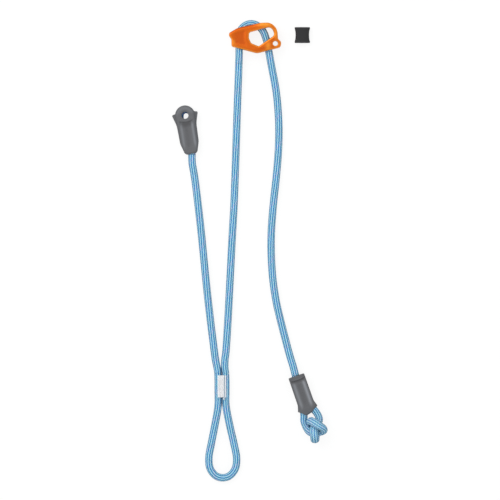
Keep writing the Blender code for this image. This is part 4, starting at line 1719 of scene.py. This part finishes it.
def sew(
    name: str, node: str, finish: Material, body: Body,
    extras: Sequence = (), **sizes: object,
) -> None:
    """Sews both faces of a pair of legs.

    Args:
        name: name of the stitching, without its side.
        node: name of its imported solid, without its side.
        finish: the thread's material.
        body: what it moves with.
        extras: further thread on the front.
        sizes: the stitching's other fields.
    """
    for front, side in ((True, "front"), (False, "rear")):
        Stitching(f"{name}_{side}", f"{node}_{side}", front=front, **sizes).build(
            finish, body, extras if front else (),
        )


@dataclass
class TieInStitching:
    """The white bar-tack across the legs of the tie-in loop, front and rear."""

    place: Place = Place(-0.0275, -0.4180)
    width: float = 0.0103
    length: float = 0.0258
    thin: float = 0.0030
    loose_thread: float = 0.0010

    def loose_end(self, finish: Material) -> Object:
        """Makes the thread's loose end, in the bar-tack's own frame.

        Args:
            finish: the thread's material.

        Returns:
            The thread.
        """
        low = -self.length / 2
        top = Z_TACK + ROPE_DIAMETER / 2 + 0.0007
        route = smooth_route([
            (0.0024, low + 0.0012, top - 0.0001), (0.0034, low - 0.0008, top),
            (0.0032, low - 0.0026, top), (0.0022, low - 0.0028, top + 0.0002),
            (0.0020, low - 0.0014, top + 0.0004), (0.0027, low - 0.0006, top + 0.0008),
        ], 0.0004)
        return Tube("loose_end", route, self.loose_thread, 8).build(finish)

    def build(self, finish: Material) -> None:
        """Makes both faces of the bar-tack.

        Args:
            finish: the thread's material.
        """
        sew(
            "tie_in_stitching", "tie_in_bartack", finish, Body.ROOT, [self.loose_end(finish)],
            place=self.place, span=(-self.length / 2, self.length / 2), width=self.width,
            middle=Z_TACK, thin=self.thin,
        )


def mirrored(left: Sequence[Point]) -> list[Point]:
    """Follows the left side of an outline, from the top down, with its mirror image."""
    return list(left) + [(-x, y, radius) for x, y, radius in reversed(left)]


@dataclass
class Moulding:
    """What the keeper and the sleeve share: soft walls over two sewn legs of rope.

    A hollow runs between the legs, with painted shade in it, and a ridge lies over each leg, with
    a painted highlight on it. Both fade in over one span and out over another, measured down from
    the moulding's origin. Begins is how far along its braid the rope inside starts, and blend is
    how softly the flange runs into the thick part.
    Side fall is how far the faces fall from their crown towards both sides.
    """

    place: Place
    thick_round: float
    blend: float
    hollow_in: Span
    hollow_out: Span
    ridge_in: Span
    ridge_out: Span
    ridge_place: float
    ridge_width: float
    left_share: float
    side_fall: float
    sewn: Span
    begins: float
    thickness: float = 0.0128
    flange: float = 0.0058
    thin_round: float = 0.0010
    clear: float = 0.0005
    pocket_depth: float = 0.0011
    hollow_depth: float = 0.0008
    hollow_width: float = 0.0030

    def valley(self, x: Array, y: Array) -> Array:
        """The hollow between the two legs of rope, 0 to 1."""
        return window(-y, self.hollow_in, self.hollow_out) * bell(x, self.hollow_width)

    def ridge_highlights(self, x: Array, y: Array) -> Array:
        """Finds how strong the painted highlight on the ridges over the legs is, the left one
        weaker.

        Args:
            x: places across.
            y: places along.

        Returns:
            The weights, 0 to 1.
        """
        ridge = bell(np.abs(x) - self.ridge_place, self.ridge_width)
        side = np.where(x > 0, 1.0, self.left_share)
        return ridge * smooth_step(-y, *self.ridge_in) * (
            (1 - smooth_step(-y, *self.ridge_out)) * side
        )

    def mould(
        self, name: str, outlines: Sequence[Array], holes: list[Array], relief: Relief,
        finish: Material,
    ) -> Object:
        """Makes the moulding's solid.

        Args:
            name: name of the piece.
            outlines: outlines of the whole, of the thin flange and of the thick part.
            holes: outlines of its holes.
            relief: depth of its faces below their crown.
            finish: the rubber.

        Returns:
            The piece, in the moulding's own frame.
        """
        whole, thin, thick = outlines
        layers = [
            Layer(thin, self.flange / 2, self.thin_round),
            Layer(thick, self.thickness / 2, self.thick_round),
        ]
        return ShapedPlate(
            name, whole, Z_MOULD, layers, holes, self.thin_round, relief, blend=self.blend,
        ).build(finish)

    def finish_off(
        self, piece: Object, body: Body, node: str, bores: Sequence[tuple],
    ) -> None:
        """Bores the moulding for its rope and puts it in its place.

        Args:
            piece: the moulding.
            body: what it moves with.
            node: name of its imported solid.
            bores: routes of the rope inside, with its widths.
        """
        for route, widths in bores:
            tool = Tube("bore", route, ROPE_DIAMETER + self.clear, 32, widths=widths)
            cut(piece, tool.build(None))
        self.place.carry(piece)
        shade(piece)
        settle(piece, body, node)

    def sew_legs(self, name: str, node: str, body: Body, finish: Material) -> None:
        """Sews the two legs of rope inside, front and rear.

        Args:
            name: name of the stitching, without its side.
            node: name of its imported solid, without its side.
            body: what it moves with.
            finish: the thread's material.
        """
        sew(
            name, node, finish, body, place=self.place, span=self.sewn, width=0.0046,
            middle=Z_MOULD, columns=2, thread=0.0004, pitch=0.0011, proud=0.0, lowest=0.0030,
        )


@dataclass
class ConnectorEnd(Moulding):
    """The moulded keeper at the fixed arm's end, with the sewn rope eye inside it.

    Lip depth is how far its faces sink round the hole. The eye is a half circle of rope, squeezed
    thinner than the rest. Squeeze is how far below the hole's middle that starts to ease, and
    over what length it eases.
    """

    place: Place = Place(-0.0718, -0.0929, 9.2)
    thick_round: float = 0.0034
    blend: float = 0.0012
    hollow_in: Span = (0.0100, 0.0170)
    hollow_out: Span = (0.0350, 0.0440)
    ridge_in: Span = (0.0050, 0.0130)
    ridge_out: Span = (0.0330, 0.0430)
    ridge_place: float = 0.0068
    ridge_width: float = 0.0015
    left_share: float = 0.7
    side_fall: float = 0.0008
    sewn: Span = (-0.0270, -0.0140)
    begins: float = 0.071
    lip_depth: float = 0.0005
    dome: float = 0.0120
    hole: float = 0.0041
    eye_radius: float = 0.0067
    eye_diameter: float = 0.0073
    eye_shift: Span = (0.0012, -0.0007)
    squeeze: Span = (0.002, 0.012)
    long_leg: Route = (
        (0.0007, -0.0474, Z_MOULD), (0.0014, -0.0420, Z_MOULD), (0.0034, -0.0350, Z_MOULD),
        (HALF_LEGS, -0.0280, Z_MOULD), (HALF_LEGS, -0.0150, Z_MOULD),
        (0.0059, -0.0065, Z_MOULD),
    )
    short_leg: Route = (
        (-0.0059, -0.0065, Z_MOULD), (-HALF_LEGS, -0.0150, Z_MOULD),
        (-HALF_LEGS, -0.0290, Z_MOULD),
    )

    def dome_arc(self, first: float, last: float, count: int) -> list[Point]:
        """Corners along the dome over the eye, between two angles in degrees."""
        angle = np.radians(np.linspace(first, last, count))
        return [(self.dome * math.cos(a), self.dome * math.sin(a), 0.0) for a in angle]

    def outlines(self) -> tuple[Array, Array, Array]:
        """Draws the whole keeper, its thin flange with two ears, and its thick part.

        Returns:
            The three outlines.
        """
        sides = [(-0.0158, 0.0022, 0.0013), (-0.0119, -0.0110, 0.0250), (-0.0113, -0.0330, 0.0150)]
        whole = mirrored(sides + [(-0.0072, -0.0471, 0.0050)]) + self.dome_arc(17.0, 163.0, 29)
        thin = mirrored(sides + [(-0.0060, -0.0460, 0.0020)]) + [
            (0.0090, 0.0045, 0.0020), (-0.0090, 0.0045, 0.0020),
        ]
        thick = mirrored([
            (-0.0108, -0.0160, 0.0200), (-0.0108, -0.0350, 0.0120), (-0.0072, -0.0471, 0.0050),
        ]) + self.dome_arc(0.0, 180.0, 31)
        return rounded(whole), rounded(thin), rounded(thick)

    def crescent(self, x: Array, y: Array) -> Array:
        """The scooped pocket below the hole.

        Args:
            x: places across.
            y: places along.

        Returns:
            The weights, 0 to 1.
        """
        lip = -0.0052 - 0.0026 * (1 - (x / 0.0090) ** 2)
        scoop = window(lip - y, (-0.0005, 0.0009), (0.0030, 0.0100))
        return scoop * (1 - smooth_step(np.abs(x), 0.0062, 0.0098))

    def relief(self, x: Array, y: Array) -> Array:
        """Depth of the keeper's faces below their crown.

        Args:
            x: places across.
            y: places along.

        Returns:
            The depths.
        """
        outer = smooth_step(np.abs(x), 0.0058, 0.0108) * smooth_step(-y, 0.0060, 0.0160)
        lip = (1 - smooth_step(np.hypot(x, y), 0.0046, 0.0066)) * (y > -0.008)
        return (
            self.pocket_depth * self.crescent(x, y) + self.hollow_depth * self.valley(x, y)
            + self.side_fall * outer + self.lip_depth * lip
        )

    def rope(self, step: float) -> tuple[list[Vector], Array]:
        """Routes the rope through the keeper: its long leg, the eye and its short leg.

        Args:
            step: distance between the route's points.

        Returns:
            The route, and the rope's width at each point as a share of its own.
        """
        eye = []
        for a in np.pi * np.arange(11) / 10:
            x, y = self.eye_radius * math.cos(a), self.eye_radius * math.sin(a)
            eye.append((x + self.eye_shift[0], y + self.eye_shift[1], Z_MOULD))
        route = smooth_route([*self.long_leg, *eye, *self.short_leg], step)
        free = np.clip((-rows(route)[:, 1] - self.squeeze[0]) / self.squeeze[1], 0.0, 1.0)
        least = self.eye_diameter / ROPE_DIAMETER
        return route, least + (1.0 - least) * free

    def build(self, finishes: Finishes) -> None:
        """Makes the keeper, the eye and its stitching.

        Args:
            finishes: every finish.
        """
        route, widths = self.rope(RING)
        eye = RopeRun(
            "connector_eye", "connector_eye_rope", route, self.begins, widths, (Ropes.boot, 0.0),
        ).build(finishes.rope)
        # Painted shade on the rope of the eye, inside the keeper, fading out down its legs.
        paint(eye, "sunk", 0.8 * smooth_step(coordinates(eye)[:, 1], -0.0300, -0.0150))
        self.place.carry(eye)
        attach(eye, Body.ROOT.value)
        hole = ring(0.0, 0.0, self.hole)
        keeper = self.mould("keeper", self.outlines(), [hole], self.relief, finishes.grey)
        x, y, _ = coordinates(keeper).T
        # Painted highlights on the ridges and round the dome; painted shade in the crescent pocket
        # and, more faintly, in the hollow between the legs.
        crown = bell(np.hypot(x, y) - 0.0088, 0.0022) * smooth_step(y, 0.0, 0.005)
        paint(keeper, "painted_highlight", 0.55 * np.maximum(self.ridge_highlights(x, y), 0.4 * crown))
        paint(keeper, "sunk", np.maximum(self.crescent(x, y), 0.35 * self.valley(x, y)))
        route, widths = self.rope(0.0015)
        half = len(route) // 2
        mouth = [route[0] + Vector((-0.0006, -0.0040, 0.0))]
        self.finish_off(keeper, Body.ROOT, "connector_keeper", [
            (mouth + route[:half + 1], np.concatenate([[1.0], widths[:half + 1]])),
            (route[half - 1:], widths[half - 1:]),
        ])
        self.sew_legs("eye_stitching", "connector_eye_stitch", Body.ROOT, finishes.thread)


@dataclass
class TailEnd(Moulding):
    """The moulded sleeve at the tail's end and the knotted eye of rope below it.

    Its lower end thins to a tongue, with a shallow bowl between the legs of the rope above it.
    Knot width is how wide the rope is in the knot, as a share of its own.
    """

    place: Place = Place(0.0616, -0.4054, 19.2)
    thick_round: float = 0.0018
    blend: float = 0.0010
    hollow_in: Span = (0.0070, 0.0130)
    hollow_out: Span = (0.0330, 0.0410)
    ridge_in: Span = (0.0060, 0.0110)
    ridge_out: Span = (0.0340, 0.0430)
    ridge_place: float = 0.0060
    ridge_width: float = 0.0018
    left_share: float = 0.6
    side_fall: float = 0.0012
    sewn: Span = (-0.0340, -0.0195)
    begins: float = 1.60
    tongue_depth: float = 0.0008
    bowl_depth: float = 0.0003
    knot_width: float = 0.98
    path: Route = (
        (-0.0009, -0.0001, Z_MOULD), (-0.0014, -0.0040, Z_MOULD), (-0.0030, -0.0090, Z_MOULD),
        (-HALF_LEGS, -0.0150, Z_MOULD), (-HALF_LEGS, -0.0340, Z_MOULD),
        (-0.0055, -0.0420, Z_MOULD),
        (-0.0069, -0.0480, 0.0056), (-0.0090, -0.0535, 0.0046), (-0.0095, -0.0590, 0.0048),
        (-0.0090, -0.0636, 0.0072), (-0.0072, -0.0678, 0.0106), (-0.0032, -0.0709, 0.0123),
        (0.0020, -0.0725, 0.0125), (0.0068, -0.0732, 0.0138), (0.0099, -0.0722, 0.0180),
        (0.0095, -0.0690, 0.0232), (0.0066, -0.0652, 0.0260), (0.0034, -0.0612, 0.0258),
        (0.0004, -0.0580, 0.0226), (-0.0018, -0.0565, 0.0166), (-0.0017, -0.0575, 0.0102),
        (-0.0013, -0.0606, 0.0054), (-0.0009, -0.0650, 0.0044), (-0.0004, -0.0694, 0.0042),
        (-0.0018, -0.0745, 0.0046), (-0.0036, -0.0789, 0.0084), (-0.0040, -0.0795, 0.0142),
        (-0.0035, -0.0759, 0.0200), (-0.0024, -0.0710, 0.0216), (-0.0006, -0.0664, 0.0198),
        (0.0024, -0.0641, 0.0154), (0.0056, -0.0624, 0.0118), (0.0089, -0.0588, 0.0100),
        (0.0091, -0.0532, 0.0086), (0.0077, -0.0476, 0.0074),
        (0.0054, -0.0420, Z_MOULD), (HALF_LEGS, -0.0340, Z_MOULD),
        (HALF_LEGS, -0.0175, Z_MOULD),
    )

    def outlines(self) -> tuple[Array, Array, Array]:
        """Draws the whole sleeve, its thin flange along both sides, and its thick part.

        Returns:
            The three outlines.
        """
        whole = [
            (-0.0099, 0.0000, 0.0008), (-0.0099, -0.0048, 0.0010), (-0.0101, -0.0345, 0.0080),
            (-0.0124, -0.0420, 0.0013), (-0.0108, -0.0430, 0.0010), (-0.0040, -0.0492, 0.0022),
            (0.0040, -0.0472, 0.0040), (0.0108, -0.0430, 0.0010), (0.0124, -0.0420, 0.0013),
            (0.0101, -0.0345, 0.0080), (0.0099, -0.0048, 0.0010), (0.0098, 0.0000, 0.0012),
        ]
        thin = mirrored([
            (-0.0101, -0.0050, 0.0013), (-0.0101, -0.0345, 0.0080), (-0.0124, -0.0420, 0.0013),
            (-0.0080, -0.0440, 0.0015),
        ])
        thick = [
            (-0.0098, 0.0000, 0.0010), (-0.0096, -0.0350, 0.0060), (-0.0112, -0.0425, 0.0016),
            (-0.0040, -0.0492, 0.0022), (0.0040, -0.0472, 0.0040), (0.0112, -0.0425, 0.0016),
            (0.0096, -0.0350, 0.0060), (0.0098, 0.0000, 0.0014),
        ]
        return rounded(whole), rounded(thin), rounded(thick)

    def pocket(self, x: Array, y: Array) -> Array:
        """The step below the collar.

        Args:
            x: places across.
            y: places along.

        Returns:
            The weights, 0 to 1.
        """
        lip = -0.0042 - 0.0012 * (1 - np.clip(np.abs(x) / 0.0090, 0.0, 1.0) ** 2)
        step = window(lip - y, (-0.0004, 0.0004), (0.0006, 0.0052))
        return step * (1 - smooth_step(np.abs(x), 0.0074, 0.0094))

    def relief(self, x: Array, y: Array) -> Array:
        """Depth of the sleeve's faces below their crown.

        Args:
            x: places across.
            y: places along.

        Returns:
            The depths.
        """
        outer = smooth_step(np.abs(x), 0.0056, 0.0102)
        tongue = smooth_step(-y, 0.0400, 0.0490)
        bowl = smooth_step(-y, 0.0350, 0.0400) * (1 - smooth_step(np.abs(x), 0.0020, 0.0060))
        return (
            self.pocket_depth * self.pocket(x, y) + self.hollow_depth * self.valley(x, y)
            + self.side_fall * outer + self.tongue_depth * tongue + self.bowl_depth * bowl
        )

    def rope(self) -> tuple[list[Vector], Array, Span]:
        """Routes the rope from the sleeve's mouth through the knot and back into the sleeve.

        Returns:
            The route, the rope's widths as a share of its own, and the numbers of the first and
            the last point below the sleeve.
        """
        route = smooth_route(self.path, RING)
        y = rows(route)[:, 1]
        widths = 1.0 - (1.0 - self.knot_width) * smooth_step(-y, 0.0440, 0.0500)
        below = np.flatnonzero(y < -0.0460)
        return route, widths, (int(below[0]), int(below[-1]))

    def build(self, finishes: Finishes) -> list[Object]:
        """Makes the sleeve, the knotted rope and its stitching.

        Args:
            finishes: every finish.

        Returns:
            The sleeve and the knotted rope.
        """
        route, widths, (first, last) = self.rope()
        knot = RopeRun(
            "knotted_end", "knotted_end_rope", route, self.begins, widths, (Ropes.sleeve, 0.0),
            Pressed.against_itself(route, ROPE_DIAMETER, 16),
        ).build(finishes.rope)
        # Painted highlight lightening the knot below the sleeve.
        paint(knot, "painted_highlight", 0.14 * smooth_step(-coordinates(knot)[:, 1], 0.0470, 0.0560))
        self.place.carry(knot)
        spots = coordinates(knot)
        spots[:, 2] = np.maximum(spots[:, 2], 0.0001)
        reshape(knot, spots)
        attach(knot, Body.TAIL_END.value)
        sleeve = self.mould("sleeve", self.outlines(), [], self.relief, finishes.grey)
        x, y, _ = coordinates(sleeve).T
        # Painted highlights on the ridges; painted shade in the pocket below the collar and, more
        # faintly, in the hollow between the legs, and a darker band at the collar.
        paint(sleeve, "painted_highlight", 0.9 * self.ridge_highlights(x, y))
        collar = 0.3 * (1 - smooth_step(-y, 0.0030, 0.0045))
        hollow = np.maximum(self.pocket(x, y), 0.3 * self.valley(x, y))
        paint(sleeve, "sunk", np.maximum(hollow, collar))
        mouth = [route[0] + Vector((0.0, 0.004, 0.0))]
        self.finish_off(sleeve, Body.TAIL_END, "end_sleeve", [
            (mouth + route[:first + 8:2], None), (route[last - 8::2], None),
        ])
        self.sew_legs("end_stitching", "end_eye_stitch", Body.TAIL_END, finishes.thread)
        return [sleeve, knot]


@dataclass
class KeeperBand:
    """The loose waisted rubber band beside the adjuster.

    Squareness turns the round section of its cylinder into a nearly square one, and waist_power
    is how late it widens again from its waist. Lip is how far its thicker ends reach, as a share
    of its length, and lip_height how much thicker they are.
    """

    place: Place = Place(0.0689, 0.0036)
    width: float = 0.0195
    waist: float = 0.0163
    length: float = 0.0188
    corner: float = 0.0016
    corner_share: float = 0.6
    thickness: float = 0.0094
    wall: float = 0.0020
    squareness: float = 0.55
    waist_power: float = 2.4
    lip: float = 0.07
    lip_height: float = 0.0003
    bevel: float = 0.0006
    rings: int = 28
    sides: int = 64

    def cylinder(self) -> Object:
        """Adds an open cylinder along Y, one long and two wide, and cuts it into rings.

        Returns:
            The cylinder.
        """
        deselect()
        bpy.ops.mesh.primitive_cylinder_add(
            vertices=self.sides, radius=1.0, depth=1.0, end_fill_type="NOTHING",
            location=(0.0, 0.0, 0.0), rotation=(math.radians(-90.0), 0.0, 0.0),
        )
        band = bpy.context.active_object
        band.name = "rubber_band"
        bpy.ops.object.transform_apply(location=True, rotation=True, scale=True)
        bpy.ops.object.mode_set(mode="EDIT")
        for k in range(1, self.rings):
            bpy.ops.mesh.select_all(action="SELECT")
            level = k / self.rings - 0.5
            bpy.ops.mesh.bisect(plane_co=(0.0, level, 0.0), plane_no=(0.0, 1.0, 0.0))
        bpy.ops.object.mode_set(mode="OBJECT")
        return band

    def draw_in(self, band: Object) -> None:
        """Draws the cylinder in to the band's outer face.

        Args:
            band: the cylinder.
        """
        spots = coordinates(band)
        angle = np.arctan2(spots[:, 2], spots[:, 0])
        cosine, sine = np.cos(angle), np.sin(angle)
        share = np.clip(spots[:, 1] + 0.5, 0.0, 1.0)
        end = np.minimum(share, 1 - share)
        width = self.waist + (self.width - self.waist) * np.abs(2 * share - 1) ** self.waist_power
        into = np.clip(1.0 - end * self.length / self.corner, 0.0, 1.0)
        width -= 2 * self.corner * (1 - np.sqrt(1 - into ** 2)) * self.corner_share
        tall = self.thickness - self.lip_height + self.lip_height * bell(end, self.lip)
        spots[:, 0] = width / 2 * np.sign(cosine) * np.abs(cosine) ** self.squareness
        spots[:, 2] = tall / 2 * np.sign(sine) * np.abs(sine) ** self.squareness
        spots[:, 1] = self.length * (share - 0.5)
        reshape(band, spots)

    def build(self, finish: Material) -> None:
        """Makes the band from a cylinder: cut into rings, drawn in at its waist and hollowed.

        Args:
            finish: the rubber.
        """
        band = self.cylinder()
        self.draw_in(band)
        solid = band.modifiers.new("wall", "SOLIDIFY")
        solid.thickness = self.wall
        solid.offset = -1.0
        bevel = band.modifiers.new("lips", "BEVEL")
        bevel.width = self.bevel
        bevel.segments = 3
        bevel.limit_method = "ANGLE"
        bevel.angle_limit = math.radians(50.0)
        apply_modifiers(band)
        band.data.transform(Matrix.Translation((0.0, 0.0, self.thickness / 2)))
        _, y, z = coordinates(band).T
        edge = self.length / 2 - np.abs(y)
        # The band is painted lighter along both ends and darker over its upper middle.
        paint(band, "painted_highlight", 0.6 * (1 - smooth_step(edge, 0.0002, 0.0012)))
        paint(band, "sunk", 0.5 * smooth_step(edge, 0.0010, 0.0020) * (z > 0.002))
        self.place.carry(band)
        band.data.materials.clear()
        band.data.materials.append(finish)
        shade(band, 45.0)
        settle(band, Body.BAND, "keeper_band")


# Studio


@dataclass
class Studio:
    """The camera above the table, the pale floor and the plain soft light."""

    middle: Span = (0.0061, -0.2544)
    view_width: float = 0.600
    distance: float = 8.0
    focus_height: float = 0.008
    sensor: float = 36.0
    floor_grey: float = 0.14
    floor_glow: float = 0.87
    room_glow: Span = (0.89, 1.0)
    window_from_middle: Point = (-0.9, 0.9, 1.5)
    window_size: Span = (1.6, 1.2)
    window_power: float = 13.0

    def camera(self) -> None:
        """Hangs the camera over the lanyard, straight above the photograph's middle."""
        data = bpy.data.cameras.new("camera")
        data.sensor_width = self.sensor
        data.lens = self.sensor * (self.distance - self.focus_height) / self.view_width
        data.clip_end = 50.0
        camera = bpy.data.objects.new("camera", data)
        camera.location = (*self.middle, self.distance)
        bpy.context.scene.collection.objects.link(camera)
        bpy.context.scene.camera = camera

    def floor(self) -> None:
        """Lays the pale floor, which shows the background's white and keeps the shadow."""
        deselect()
        bpy.ops.mesh.primitive_plane_add(size=6.0, location=(*self.middle, 0.0))
        floor = bpy.context.active_object
        floor.name = "floor"
        material, bench, shader = new_material("pale_floor")
        shader.inputs["Base Color"].default_value = (*[self.floor_grey] * 3, 1.0)
        shader.inputs["Roughness"].default_value = 1.0
        shader.inputs["Specular IOR Level"].default_value = 0.0
        path = bench.add("ShaderNodeLightPath")
        camera, glossy, through = (
            path.outputs[f"Is {ray} Ray"] for ray in ("Camera", "Glossy", "Transmission")
        )
        seen = bench.math("MAXIMUM", camera, bench.math("MAXIMUM", glossy, through))
        glow = bench.add("ShaderNodeEmission")
        glow.inputs["Color"].default_value = (1.0, 1.0, 1.0, 1.0)
        bench.feed(glow.inputs["Strength"], bench.scaled(seen, self.floor_glow))
        both = bench.add("ShaderNodeAddShader")
        output = next(n for n in bench.tree.nodes if n.type == "OUTPUT_MATERIAL")
        bench.feed(both.inputs[0], shader.outputs[0])
        bench.feed(both.inputs[1], glow.outputs[0])
        bench.feed(output.inputs["Surface"], both.outputs[0])
        floor.data.materials.append(material)

    def light(self) -> None:
        """Lights the table with an even white room and one broad lamp."""
        world = bpy.data.worlds.new("room")
        world.use_nodes = True
        background = world.node_tree.nodes["Background"]
        background.inputs["Color"].default_value = (1.0, 1.0, 1.0, 1.0)
        bench = Bench(world.node_tree)
        seen = bench.add("ShaderNodeLightPath").outputs["Is Camera Ray"]
        bench.feed(background.inputs["Strength"], bench.between(seen, *self.room_glow))
        bpy.context.scene.world = world
        data = bpy.data.lights.new("window", "AREA")
        data.shape = "RECTANGLE"
        data.size, data.size_y = self.window_size
        data.energy = self.window_power
        lamp = bpy.data.objects.new("window", data)
        across, along, up = self.window_from_middle
        lamp.location = (self.middle[0] + across, self.middle[1] + along, up)
        aim = Vector((*self.middle, 0.0)) - lamp.location
        lamp.rotation_euler = aim.to_track_quat("-Z", "Y").to_euler()
        bpy.context.scene.collection.objects.link(lamp)

    def build(self) -> None:
        """Sets up the whole studio."""
        self.camera()
        self.floor()
        self.light()
        bpy.context.scene.view_settings.view_transform = "Standard"


def main() -> None:
    """Builds the lanyard, sub-assembly by sub-assembly."""
    logging.basicConfig(level=logging.INFO, format="%(message)s")
    Studio().build()
    finishes = Finishes.make()
    end_pieces = TailEnd().build(finishes)
    ropes = Ropes()
    ropes.build(finishes.rope, end_pieces)
    ConnectorEnd().build(finishes)
    TieInStitching().build(finishes.thread)
    Adjuster().build(finishes.metal, ropes.bight)
    KeeperBand().build(finishes.black)


if __name__ == "__main__":
    main()
